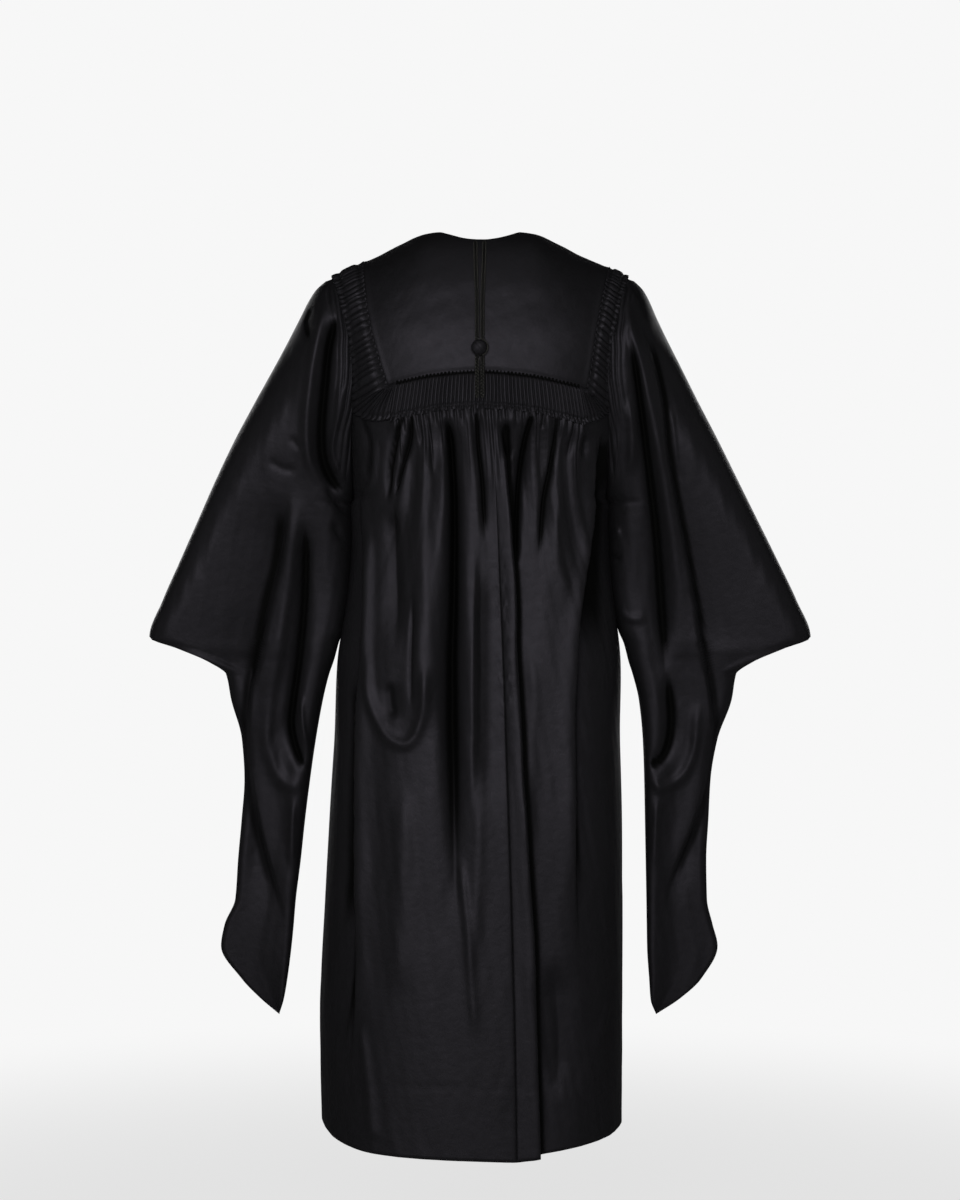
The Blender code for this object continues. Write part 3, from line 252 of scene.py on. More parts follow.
# Folds: kind, width at the top and the foot, depth (mm), the shares of the length over which it fades
# at the top and the foot, and its way down as (across, height) in mm. A fold named for a side is an
# edge beyond which the cloth falls away to that side, and its second width is how far that reaches.
# The deep ones paint shade over the cloth as far as they reach; valleys and edges also paint shade, at the
# bottom or beyond the edge.
BACK_FOLDS = (
    ("valley", 5, 5, 9, 0.05, 0.35, ((-103, -262), (-115, -300), (-123, -340), (-126, -393))),
    ("valley", 3.5, 4, 9, 0.05, 0.25, ((-91, -262), (-96, -300), (-107, -340), (-117, -377))),
    ("valley", 14, 20, 10, 0.2, 0.4, ((-119, -380), (-118, -460), (-114, -541), (-110, -594))),
    ("valley", 3, 3, 4, 0.1, 0.4, ((-80, -262), (-79, -313))),
    ("valley", 3, 3, 5, 0.1, 0.4, ((-71, -262), (-66, -306), (-62, -353))),
    ("valley", 6, 14, 26, 0.05, 0.5,
     ((-46, -262), (-40, -306), (-36, -380), (-36, -460), (-38, -568), (-38, -675), (-36, -755),
      (-34, -849), (-29, -996))),
    ("valley", 3.5, 4, 9, 0.05, 0.35, ((-5, -259), (-3, -300), (3, -353), (5, -393), (8, -440))),
    ("right", 6, 60, 24, 0.08, 0.0,
     ((24, -266), (34, -313), (39, -367), (44, -420), (48, -474), (51, -527), (51, -581),
      (55, -648), (58, -702),
      (60, -755), (68, -876), (76, -1006), (83, -1264))),
    ("valley", 5, 5, 12, 0.05, 0.2, ((70, -262), (62, -300), (55, -353), (52, -407), (51, -474))),
    ("valley", 7, 7, 9, 0.3, 0.3, ((35, -270), (36, -300), (40, -326))),
    ("valley", 3.5, 6, 9, 0.05, 0.4,
     ((102, -262), (103, -300), (98, -340), (91, -380), (87, -420), (83, -474))),
    ("valley", 3, 3, 4, 0.1, 0.4, ((87, -262), (82, -286))),
    ("valley", 6, 6, 5, 0.35, 0.35, ((143, -284), (145, -306), (142, -326))),
    ("deep right", 8, 45, 14, 0.1, 0.5,
     ((166, -286), (164, -340), (159, -407), (151, -474), (145, -541), (142, -640))),
    ("deep left", 8, 24, 14, 0.2, 0.3, ((-163, -594), (-168, -702), (-169, -862), (-173, -1000))),
    ("valley", 22, 24, 8, 0.3, 0.3, ((105, -990), (114, -1090), (112, -1190))),
    ("ridge", 5, 6, 3, 0.2, 0.2, ((-27, -849), (-17, -956), (-4, -1104))),
    ("ridge", 6, 8, 4, 0.2, 0.3, ((-171, -1010), (-175, -1080), (-184, -1130))),
    ("ridge", 5, 7, 3, 0.2, 0.1, ((-160, -1080), (-150, -1160), (-141, -1240))),
    ("valley", 7, 7, 6, 0.15, 0.25, ((-163, -251), (-155, -286), (-153, -320), (-158, -351))),
    ("ridge", 4, 4, 4, 0.3, 0.3, ((-147, -280), (-143, -313), (-145, -346), (-153, -364), (-166, -364))),
    ("valley", 2.5, 3, 4, 0.1, 0.4, ((-150, -254), (-145, -270), (-135, -278))),
    ("valley", 2.5, 3, 4, 0.1, 0.4, ((-158, -251), (-155, -267), (-147, -278))),
    ("valley", 3, 4, 5, 0.1, 0.4, ((127, -262), (125, -300), (121, -326))),
    ("right", 8, 50, 22, 0.15, 0.3,
     ((161, -286), (158, -340), (153, -407), (145, -474), (138, -541), (134, -648), (134, -728),
      (135, -862), (138, -996))),
    ("left", 8, 45, 18, 0.2, 0.2,
     ((-169, -340), (-159, -434), (-157, -527), (-163, -594), (-168, -702), (-169, -862),
      (-169, -1050), (-177, -1157))),
    ("ridge", 8, 8, 4, 0.2, 0.2, ((-150, -407), (-151, -514), (-150, -621))),
    ("ridge", 7, 7, 5, 0.15, 0.15,
     ((-149, -581), (-149, -635), (-141, -668), (-126, -695), (-107, -707), (-92, -703),
      (-80, -680), (-74, -648), (-72, -594))),
    ("valley", 10, 10, 6, 0.3, 0.3, ((-123, -621), (-121, -655), (-113, -677))),
    ("valley", 3.5, 3.5, 5, 0.3, 0.3, ((-91, -501), (-92, -581), (-92, -641), (-90, -668))),
    ("ridge", 16, 17, 7, 0.1, 0.2,
     ((-68, -300), (-72, -380), (-73, -460), (-76, -541), (-77, -621), (-73, -700))),
    ("ridge", 9, 9, 3, 0.2, 0.2, ((-13, -514), (-7, -621), (-3, -728), (-3, -862), (-13, -1050))),
    ("right", 12, 28, 9, 0.3, 0.3, ((-4, -430), (-4, -560), (-6, -720), (-8, -820))),
    ("ridge", 10, 12, 3, 0.2, 0.2, ((71, -568), (75, -648), (70, -728), (67, -862))),
    ("ridge", 9, 12, 5, 0.3, 0.3, ((110, -353), (105, -407), (107, -460), (117, -507), (111, -534))),
    ("ridge", 12, 16, 4, 0.2, 0.2, ((-102, -755), (-103, -889), (-105, -1050))),
    ("ridge", 8, 10, 3, 0.3, 0.3, ((182, -1050), (169, -1090), (157, -1130))),
)
FRONT_FOLDS = (
    ("valley", 8, 22, 16, 0.1, 0.2, ((-55, -175), (-62, -600), (-70, -1150))),
    ("valley", 8, 22, 16, 0.1, 0.2, ((52, -175), (60, -620), (72, -1180))),
    ("valley", 8, 18, 12, 0.1, 0.4, ((-105, -180), (-118, -450), (-124, -800))),
    ("valley", 8, 18, 12, 0.1, 0.4, ((100, -180), (116, -420), (122, -760))),
    ("valley", 5, 10, 8, 0.05, 0.4, ((-28, -160), (-30, -300), (-34, -520))),
    ("valley", 5, 10, 8, 0.05, 0.4, ((30, -160), (33, -320), (34, -560))),
    ("valley", 5, 8, 7, 0.05, 0.4, ((-80, -160), (-88, -300), (-92, -430))),
    ("valley", 5, 8, 7, 0.05, 0.4, ((78, -160), (84, -280), (90, -460))),
    ("left", 10, 45, 14, 0.3, 0.2, ((-140, -420), (-146, -700), (-150, -1200))),
    ("right", 10, 45, 14, 0.3, 0.2, ((138, -430), (144, -720), (148, -1200))),
)
LEFT_SLEEVE_FOLDS = (
    ("ridge", 7, 7, 5, 0.2, 0.2,
     ((199, -90), (218, -130), (231, -200), (238, -279), (233, -327), (212, -364))),
    ("valley", 7, 9, 17, 0.12, 0.15,
     ((196, -120), (207, -168), (213, -224), (218, -279), (216, -320), (202, -352), (180, -369))),
    ("ridge", 4, 4, 4, 0.2, 0.2, ((188, -210), (194, -261), (203, -305), (196, -334), (180, -356))),
    ("valley", 5, 5, 8, 0.2, 0.4, ((232, -108), (240, -130), (234, -161))),
    ("valley", 4, 4, 3, 0.3, 0.3, ((293, -318), (274, -332), (250, -336))),
    ("valley", 3.5, 3.5, 2.5, 0.3, 0.3, ((263, -289), (253, -300), (245, -309))),
    ("valley", 5, 5, 5, 0.3, 0.3, ((214, -352), (199, -380), (173, -406))),
    ("valley", 5, 5, 4, 0.3, 0.3, ((206, -403), (194, -426), (174, -442))),
    ("ridge", 12, 10, 6, 0.2, 0.1,
     ((249, -348), (259, -431), (270, -514), (283, -597), (293, -652), (297, -708), (283, -756),
      (263, -773), (235, -763))),
    ("valley", 6, 7, 15, 0.15, 0.1,
     ((241, -403), (242, -459), (245, -528), (252, -597), (260, -652), (263, -694), (249, -739),
      (232, -748))),
    ("ridge", 6, 7, 4, 0.25, 0.3, ((259, -784), (262, -840), (257, -900))),
    ("ridge", 4, 4, 3, 0.3, 0.1, ((250, -638), (246, -694), (232, -731))),
    ("out", 8, 40, 10, 0.25, 0.25,
     ((290, -500), (312, -597), (325, -701), (318, -777), (301, -860), (267, -977))),
    ("out", 10, 35, 14, 0.25, 0.2, ((262, -362), (276, -459), (290, -514), (307, -597), (318, -650))),
)
RIGHT_SLEEVE_FOLDS = (
    ("ridge", 8, 11, 6, 0.1, 0.3,
     ((196, -99), (210, -154), (223, -210), (238, -279), (249, -334), (263, -417), (276, -514),
      (286, -611))),
    ("valley", 5, 9, 15, 0.1, 0.2,
     ((205, -154), (215, -210), (225, -279), (235, -348), (244, -417), (250, -486), (256, -569),
      (258, -625))),
    ("ridge", 3, 3, 2, 0.3, 0.3, ((262, -240), (268, -290), (274, -343))),
    ("valley", 4, 4, 5, 0.2, 0.4, ((205, -76), (221, -99), (232, -141))),
    ("out", 6, 30, 13, 0.15, 0.2,
     ((221, -134), (241, -196), (252, -251), (258, -307), (268, -362), (288, -459), (304, -542),
      (318, -611))),
    ("ridge", 7, 7, 6, 0.3, 0.3, ((203, -231), (209, -293), (207, -345))),
    ("ridge", 3, 3, 3, 0.3, 0.1, ((188, -279), (188, -314), (182, -348), (165, -374))),
    ("valley", 6, 6, 9, 0.3, 0.2, ((177, -258), (176, -314), (166, -359))),
    ("valley", 4, 4, 6, 0.3, 0.3, ((166, -432), (182, -449), (199, -461))),
    ("ridge", 5, 5, 6, 0.3, 0.3, ((169, -419), (182, -423), (196, -417))),
    ("ridge", 5, 5, 3, 0.2, 0.3, ((182, -522), (205, -539), (235, -539))),
    ("ridge", 6, 7, 4, 0.25, 0.3, ((246, -784), (243, -840), (238, -900))),
    ("valley", 8, 8, 11, 0.3, 0.1, ((261, -611), (267, -687), (256, -731), (232, -746))),
    ("ridge", 7, 7, 5, 0.2, 0.1, ((301, -652), (301, -710), (286, -755), (256, -775), (231, -764))),
    ("out", 7, 30, 10, 0.2, 0.25,
     ((294, -508), (318, -629), (325, -694), (318, -755), (299, -828), (272, -893), (253, -952))),
)
PLAIN_SLEEVE_FOLDS = (
    ("valley", 14, 20, 12, 0.3, 0.3, ((220, -220), (238, -380), (250, -560))),
    ("valley", 16, 22, 10, 0.3, 0.3, ((290, -400), (300, -560), (290, -700))),
    ("valley", 7, 9, 7, 0.3, 0.3, ((205, -180), (216, -300), (224, -400))),
)


def smooth_step(t):
    t = np.clip(t, 0, 1)
    return t * t * (3 - 2 * t)


def near(distance, reach):
    """1 at no distance, easing to 0 at the reach."""
    return smooth_step(1 - distance / reach)


def bell(distance, width):
    """1 at no distance, falling away evenly on both sides."""
    return np.exp(-((distance / width) ** 2))


def quarter_round(t):
    """0 at 0 and 1 from 1 on, along a quarter of a circle that starts upright."""
    return np.sqrt(1 - (1 - np.clip(t, 0, 1)) ** 2)


def level_left(t):
    """The share of the shoulder's rounding still to come, which ends gently a quarter beyond its radius."""
    return (1 - np.clip(t, 0, 1.25) / 1.25) ** 2.5


def chance(number):
    """A fixed scattered value from 0 to 1 for each whole number."""
    return np.modf(np.abs(np.sin(np.floor(number) * 12.9898 + 4.1414)) * 43758.5453)[0]


def wander(t):
    """A smooth irregular wave between about -1 and 1."""
    return 0.5 * np.sin(t) + 0.3 * np.sin(2.3 * t + 1.7) + 0.2 * np.sin(5.1 * t + 0.4)


def side_name(side):
    return "left" if side == LEFT else "right"


def depth_name(face):
    return "back_depth" if face == BACK else "front_depth"


def shoulder_height(x):
    return SHOULDER.at("height", np.abs(x))


def seam_out(height):
    """How far out from the middle the armhole seam lies."""
    heights, outs = zip(*ARMHOLE)
    return np.interp(height, heights, outs)


def share_out(x, height):
    """How far out x lies on the body's level ring, from -1 to 1."""
    return np.clip((x - BODY.at("sway", height)) / BODY.at("half_width", height), -1, 1)


def ring_depth(across):
    """The share of the ring's full depth at a share of its half width."""
    return (1 - np.abs(across) ** BOXINESS) ** (1 / BOXINESS)


def surface_y(x, height, face):
    """Where the smooth upper body lies, front or back, at x and a height."""
    depth = BODY.at(depth_name(face), height) * ring_depth(share_out(x, height))
    return face * depth * np.sqrt(1 - level_left((shoulder_height(x) - height) / SHOULDER_ROUNDING))


def surface_normal(x, y, height, face):
    """The outward direction of the smooth upper body at one of its points."""

    def level(x, y, height):
        full = np.maximum(ring_depth(share_out(x, height)), 0.05)
        down = (shoulder_height(x) - height) / SHOULDER_ROUNDING
        outward = (y / (BODY.at(depth_name(face), height) * full)) ** 2
        return outward + level_left(down) - 2.0 * np.minimum(down, 0)

    step = 1e-5
    slope = [
        level(x + step, y, height) - level(x - step, y, height),
        level(x, y + step, height) - level(x, y - step, height),
        level(x, y, height + step) - level(x, y, height - step),
    ]
    normal = np.stack(slope, 1)
    return normal / np.maximum(np.linalg.norm(normal, axis=1), 1e-12)[:, None]


def on_upper_body(x, height, face, lift):
    """Points of the smooth upper body, lifted off it along its outward direction."""
    y = surface_y(x, height, face)
    return np.stack([x, y, height], 1) + surface_normal(x, y, height, face) * np.reshape(lift, (-1, 1))


def height_below_shoulder(x, down):
    """The height reached from the shoulder line at x by going this far down over the cloth."""
    curved = SHOULDER_ROUNDING * (1 - np.cos(np.clip(down, 0, SHOULDER_QUARTER) / SHOULDER_ROUNDING))
    return shoulder_height(x) - curved - np.maximum(down - SHOULDER_QUARTER, 0)


def way_down(x, height):
    """The reverse of height_below_shoulder."""
    drop = shoulder_height(x) - height
    curved = SHOULDER_ROUNDING * np.arccos(np.clip(1 - drop / SHOULDER_ROUNDING, 0, 1))
    return np.where(drop > SHOULDER_ROUNDING, SHOULDER_QUARTER + drop - SHOULDER_ROUNDING, curved)


def ring_turn(x, height):
    """The angle round the body's level ring at x, from 0 on the centre line to a quarter turn."""
    across = share_out(x, height)
    return np.arctan2(across, ring_depth(across))


def ring_point(turn, height, face):
    """The point of the level ring at an angle, and the outward direction there."""
    half_width, depth = BODY.at("half_width", height), BODY.at(depth_name(face), height)
    sine, cosine = np.abs(np.sin(turn)), np.abs(np.cos(turn))
    radius = (sine**BOXINESS + cosine**BOXINESS) ** (-1 / BOXINESS)
    across, along = radius * sine * np.sign(turn), radius * cosine
    place = np.stack([BODY.at("sway", height) + half_width * across, face * depth * along, height], 1)
    sideways = np.sign(turn) * np.abs(across) ** (BOXINESS - 1) / half_width
    normal = np.stack([sideways, face * along ** (BOXINESS - 1) / depth, np.zeros(len(turn))], 1)
    return place, normal / np.linalg.norm(normal, axis=1)[:, None]


def eased(route, steps=6):
    """A route with rounded corners, through the same points."""
    points = np.array([2 * route[0] - route[1], *route, 2 * route[-1] - route[-2]])
    t = np.arange(steps)[:, None] / steps
    parts = []
    for before, start, end, after in zip(points, points[1:], points[2:], points[3:]):
        bend = 2 * before - 5 * start + 4 * end - after, 3 * (start - end) + after - before
        parts.append(start + 0.5 * (t * (end - before) + t**2 * bend[0] + t**3 * bend[1]))
    return np.concatenate([*parts, route[-1:]])


def nearest_on(points, path):
    """Distance to a path, positive on the +X side of its way down, and the share of its length."""
    best = np.full(len(points), 1e9)
    signed, along = np.zeros(len(points)), np.zeros(len(points))
    lengths = np.linalg.norm(np.diff(path, axis=0), axis=1)
    before = 0
    for start, end, length in zip(path[:-1], path[1:], lengths):
        step = (end - start) / length
        offset = points - start
        t = np.clip(offset @ step, 0, length)
        distance = np.linalg.norm(offset - t[:, None] * step, axis=1)
        side = np.where(offset @ np.array([-step[1], step[0]]) < 0, -1, 1)
        nearer = distance < best
        best[nearer] = distance[nearer]
        signed[nearer] = (side * distance)[nearer]
        along[nearer] = ((before + t) / lengths.sum())[nearer]
        before += length
    return signed, along


def round_fold(kind, widths, depth, distance, along, left):
    """A valley or a ridge at a share along its way, with a share of its depth left there: how far it
    moves the cloth outwards, and how much painted shade a valley's bottom gets."""
    width, foot_width = widths
    spread = width + (foot_width - width) * along
    if kind == "ridge":
        return left * bell(distance, spread), np.zeros(len(distance))
    narrow = np.clip((0.017 - spread) / 0.006, 0.2, 1)
    bottom = bell(distance, spread * (0.3 + 0.7 * left))
    # Painted shade in the valley's bottom, only where the fold is narrow and deep.
    fold_shade_paint = smooth_step((bottom - 0.25) / 0.55) * smooth_step(left * 1.6) * narrow
    return -left * np.exp(-np.abs(distance / spread) ** 1.3), fold_shade_paint * smooth_step((depth - 0.002) / 0.008)


def edge_fold(kind, widths, depth, distance, left):
    """An edge beyond which the cloth falls away to one side: how far it moves the cloth outwards, and
    how much painted shade the place beyond it gets."""
    width, reach = widths
    beyond = -distance if kind.endswith("left") else distance
    fallen = smooth_step(beyond / width + 0.5) * np.exp(-np.maximum(beyond, 0) / reach)
    lip = 0.25 * bell(beyond + width, 2 * width)
    share, shade_reach_share, fading = beyond / width, 1.0, 1.0
    # A deep edge spreads its painted shade over its whole reach, as the shadow of the sleeve on the body's
    # side.
    if kind.startswith("deep"):
        shade_reach_share = 1.3 * reach / width
        fading = 0.5 * shade_reach_share
    across = smooth_step(share * 2) * smooth_step((1 + shade_reach_share - share) / fading)
    fold_shade_paint = across * smooth_step(left * 1.4 - 0.2) * smooth_step((depth - 0.004) / 0.008)
    return left * (lip - fallen), fold_shade_paint


def fold_rise(flat, folds, flatten):
    """How far the folds move each point of the flat cloth outwards, and how much painted shade it gets for
    lying deep in one.
    """
    total, painted_shade = np.zeros(len(flat)), np.zeros(len(flat))
    for kind, width, foot_width, depth, top, foot, route in folds:
        path = eased(np.array([flatten(across / 1000, height / 1000) for across, height in route]))
        distance, along = nearest_on(flat, path)
        left = smooth_step(along / top) if top else np.ones(len(flat))
        left = left * (smooth_step((1 - along) / foot) if foot else 1)
        widths, depth = (width / 1000, foot_width / 1000), depth / 1000
        if kind in ("valley", "ridge"):
            moved, fold_shade_paint = round_fold(kind, widths, depth, distance, along, left)
        else:
            moved, fold_shade_paint = edge_fold(kind, widths, depth, distance, left)
        total += depth * moved
        painted_shade = np.maximum(painted_shade, fold_shade_paint)
    return total, painted_shade


def flat_on_body(x, height):
    return ring_turn(x, height) * FLAT_PER_RADIAN, height


def flat_on_sleeve(out, height):
    return out, height


def slack(flat, size):
    """The faint unevenness of cloth that hangs free."""
    across, height = flat.T
    wave = wander(across * 47 + 1.3 * wander(height * 9)) + 0.7 * wander(across * 83 + height * 13 + 2)
    return size * wave * (0.6 + 0.4 * wander(height * 17 + across * 21))


def edge_dip(distance, depth=0.0009, reach=0.0022):
    """The groove in which two pieces are sewn together."""
    return -depth * bell(distance, reach)


def turned_edge(distance, rise):
    """The thickness of an edge that is turned under, ending in a small roll."""
    return rise * near(distance, 0.009) - 0.0010 * near(distance, 0.0012)


def groove_shade(count, width=0.24):
    """How much painted shade a flute's groove gets: 1 in the groove between two flutes and 0 on their
    backs.
    """
    return near(np.abs(np.sin(math.pi * count)), math.pi * width / 2)


def flute(count, sharpness=0.75):
    """A rounded flute between two narrow grooves, each a little higher or lower than the next."""
    return (0.8 + 0.35 * chance(count)) * np.abs(np.sin(math.pi * count)) ** sharpness


def lay_flat(faces, flat_map, flat):
    """Writes where each corner of the faces lies on the flat cloth or yarn, in metres, into a map."""
    for face in faces:
        for loop in face.loops:
            loop[flat_map].uv = flat[loop.vert]


def laid_cloth(name, columns, rows, surface, inside, opened=None):
    """A grid of cloth laid on a surface. surface takes shares across and down. It gives the places, the
    places on the flat cloth in metres, and the distance to the nearest row of stitches. A fourth answer
    is the painted shade of each place, set where it lies deep in a fold, in a groove or under an edge."""
    grid = bmesh.new()
    bmesh.ops.create_grid(grid, x_segments=columns, y_segments=rows, size=0.5)
    shares = np.array([(corner.co.x + 0.5, 0.5 - corner.co.y) for corner in grid.verts])
    shares = np.round(shares * (columns, rows)) / (columns, rows)
    places, flat, *marks = surface(*shares.T)
    # The fourth answer becomes a mask of painted shade, which the satin finish reads to mix in its black
    # matt copy.
    for mark, values in zip(("from_stitches", "painted_fold_shade"), marks):
        layer = grid.verts.layers.float.new(mark)
        for corner, value in zip(grid.verts, values):
            corner[layer] = value
    lay_flat(grid.faces, grid.loops.layers.uv.new("flat_cloth"), dict(zip(grid.verts, flat)))
    if opened:
        middles = [(face, face.calc_center_median()) for face in grid.faces]
        gone = [face for face, at in middles if opened(at.x + 0.5, 0.5 - at.y)]
    for corner, place in zip(grid.verts, places):
        corner.co = place
    if opened:
        bmesh.ops.delete(grid, geom=gone, context="FACES")
    bmesh.ops.remove_doubles(grid, verts=grid.verts, dist=1e-5)
    grid.normal_update()
    facing = 0
    for face in grid.faces:
        middle = face.calc_center_median()
        facing += face.calc_area() * face.normal.dot(middle - Vector(inside(middle)))
    if facing < 0:
        bmesh.ops.reverse_faces(grid, faces=grid.faces)
    return made_object(name, grid)


def made_object(name, mesh, smooth=True):
    """The finished mesh as an object at the origin."""
    data = bpy.data.meshes.new(name)
    for face in mesh.faces:
        face.smooth = smooth
    mesh.to_mesh(data)
    mesh.free()
    made = bpy.data.objects.new(name, data)
    bpy.context.scene.collection.objects.link(made)
    return made


def dress(piece, finish, slot, *nodes):
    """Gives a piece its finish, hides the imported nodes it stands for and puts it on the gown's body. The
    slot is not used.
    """
    piece.data.materials.append(finish)
    for node in nodes:
        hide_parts(node)
    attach(piece, "gown")


def cloth_piece(node, finish, cut, held, area=None, **grid):
    """A thin satin shell that stands for a packed cloth node."""
    piece = laid_cloth(f"satin_{node}", **grid)
    wall = piece.modifiers.new("wall", "SOLIDIFY")
    wall.thickness = WALL
    wall.offset = -1
    dress(piece, finish, "satin_cloth", node)


def body_middle(at):
    return 0, 0, at.z


def yoke_side(side, height):
    return side * YOKE_SIDES.at(side_name(side), height)


def yoke_corner(side):
    x = yoke_side(side, YOKE_CORNER)
    return np.array([x, YOKE_EDGE.at("height", x)])


def neckline_down(x):
    """How far down over the cloth from the shoulder line the back neckline lies at x."""
    plan = np.sqrt(np.clip(1 - (x / NECK_HALF_WIDTH) ** 2, 0, 1))
    return SHOULDER_ROUNDING * np.arcsin(NAPE_DEPTH * plan / BODY.at("back_depth", 0.0))


def settle(x_at, down, start):
    """x and height where a column crosses a line given as the way down from the shoulder."""
    x = start
    for _ in range(8):
        height = height_below_shoulder(x, down)
        x = x_at(height)
    return x, height_below_shoulder(x, down)


def back_yoke(finish):
    """The smooth back yoke, lapped over the fluting, with its edges turned under."""
    left, right = yoke_side(LEFT, SHOULDER_TOP), yoke_side(RIGHT, SHOULDER_TOP)
    neck_from, neck_to = 0.25, 0.75

    def surface(across, down):
        swing = np.clip((across - neck_from) / (neck_to - neck_from), 0, 1) * math.pi
        start = -NECK_HALF_WIDTH * np.cos(swing)
        out_left = np.clip(1 - across / neck_from, 0, 1)
        out_right = np.clip(1 - (1 - across) / (1 - neck_to), 0, 1)
        start = start + out_left * (left + NECK_HALF_WIDTH) + out_right * (right - NECK_HALF_WIDTH)
        share = (start - left) / (right - left)

        def x_at(height):
            inner_left, inner_right = yoke_side(LEFT, height), yoke_side(RIGHT, height)
            return inner_left + (inner_right - inner_left) * share

        foot = start
        for _ in range(6):
            foot = x_at(YOKE_EDGE.at("height", foot))
        upper = neckline_down(start)
        lower = way_down(foot, YOKE_EDGE.at("height", foot) - 0.0010)
        x, height = settle(x_at, upper + (lower - upper) * down, start)
        width = yoke_side(RIGHT, height) - yoke_side(LEFT, height)
        from_side = np.minimum(share, 1 - share) * width
        from_edge = (lower - upper) * (1 - down)
        from_shoulder = (lower - upper) * down
        lift = turned_edge(np.minimum(from_side, from_edge), 0.0016)
        shoulder = np.minimum(out_left + out_right, 1) * smooth_step(from_shoulder / 0.001 + 0.5)
        lift = lift + edge_dip(from_shoulder) * shoulder
        soft = wander(x * 31 + height * 22 + 1) + wander(height * 47 - x * 20)
        soft = soft + 0.4 * wander(x * 95 - height * 60)
        lift = lift + 0.0004 * soft * smooth_step(from_edge / 0.03) * smooth_step(from_side / 0.03)
        stitched = np.where(out_left + out_right > 0, 1.0, np.abs(from_shoulder - STITCHES_IN))
        return on_upper_body(x, height, BACK, lift), np.stack([x, -way_down(x, height)], 1), stitched

    cloth_piece(
        "yoke_back", finish, (0.350, 0.255), "draped", 0.083,
        columns=140, rows=110, surface=surface, inside=body_middle,
    )


def front_yoke(side, finish):
    """A front yoke, from the shoulder seam to the gathers, with the V of the neck beside the zip."""
    edge = abs(yoke_side(side, SHOULDER_TOP))
    neck = 0.29

    def surface(across, down):
        along_neck = np.clip(across / neck, 0, 1)
        along_shoulder = np.clip((across - neck) / (1 - neck), 0, 1)
        start = ZIP_EDGE + (NECK_HALF_WIDTH - ZIP_EDGE) * along_neck
        start = start + (edge - NECK_HALF_WIDTH) * along_shoulder
        share = (start - ZIP_EDGE) / (edge - ZIP_EDGE)

        def x_at(height):
            return side * (ZIP_EDGE + (abs(yoke_side(side, height)) - ZIP_EDGE) * share)

        upper = way_down(side * start, shoulder_height(start) - V_NECK_DROP * (1 - along_neck))
        lower = way_down(x_at(FRONT_YOKE_EDGE), FRONT_YOKE_EDGE - 0.0010)
        x, height = settle(x_at, upper + (lower - upper) * down, side * start)
        length = lower - upper
        from_edge = np.minimum(length * (1 - down), (1 - share) * edge)
        lift = turned_edge(from_edge, 0.0014) + edge_dip(length * down) * (along_shoulder > 0)
        lift = lift + 0.0006 * near(share * edge, 0.004)
        lift = lift + slack(np.stack([x, height], 1), 0.0006) * smooth_step(from_edge / 0.03)
        stitched = np.where(along_shoulder > 0, 1.0, np.abs(length * down - STITCHES_IN))
        return on_upper_body(x, height, FRONT, lift), np.stack([x, -way_down(x, height)], 1), stitched

    cloth_piece(
        f"yoke_front_{side_name(side)}", finish, (0.180, 0.165), "draped", 0.0255,
        columns=70, rows=60, surface=surface, inside=body_middle,
    )


def fan_edge(side, t):
    """The outer edge of the fan of flutes round a yoke corner, from the armhole seam to the band."""
    corner = yoke_corner(side)
    start = np.array([side * seam_out(SEAM_MEETS_FAN), SEAM_MEETS_FAN]) - corner
    band_x = corner[0] - side * BAND_END
    end = np.array([band_x, YOKE_EDGE.at("height", band_x) - BAND_HEIGHT]) - corner
    from_turn, to_turn = math.atan2(start[1], abs(start[0])), math.atan2(end[1], end[0] * side)
    turns = np.linspace(from_turn, to_turn, FAN_STEPS + 1)
    radii = np.linspace(np.linalg.norm(start), np.linalg.norm(end), FAN_STEPS + 1)
    steps = np.linspace(0, 1, FAN_STEPS + 1)
    x = np.interp(t, steps, corner[0] + side * radii * np.cos(turns))
    return x, np.interp(t, steps, corner[1] + radii * np.sin(turns))


def fluted_lift(count, from_inner, from_outer):
    """The relief of a fluted band, pinched by a thread near each edge and ragged past the outer one."""
    inner_pinch = 0.92 * bell(from_inner - 0.002, 0.0018)
    outer_pinch = 0.70 * bell(from_outer - 0.0015, 0.0016)
    ragged = smooth_step(-from_outer / 0.003)
    height = FLUTE_HEIGHT * flute(count) * (1 - inner_pinch) * (1 - outer_pinch)
    ruffle = 0.0016 * wander(count * 4.1 + 40 * from_outer) * ragged
    return height + ruffle - 0.0012 * near(from_inner, 0.0015)


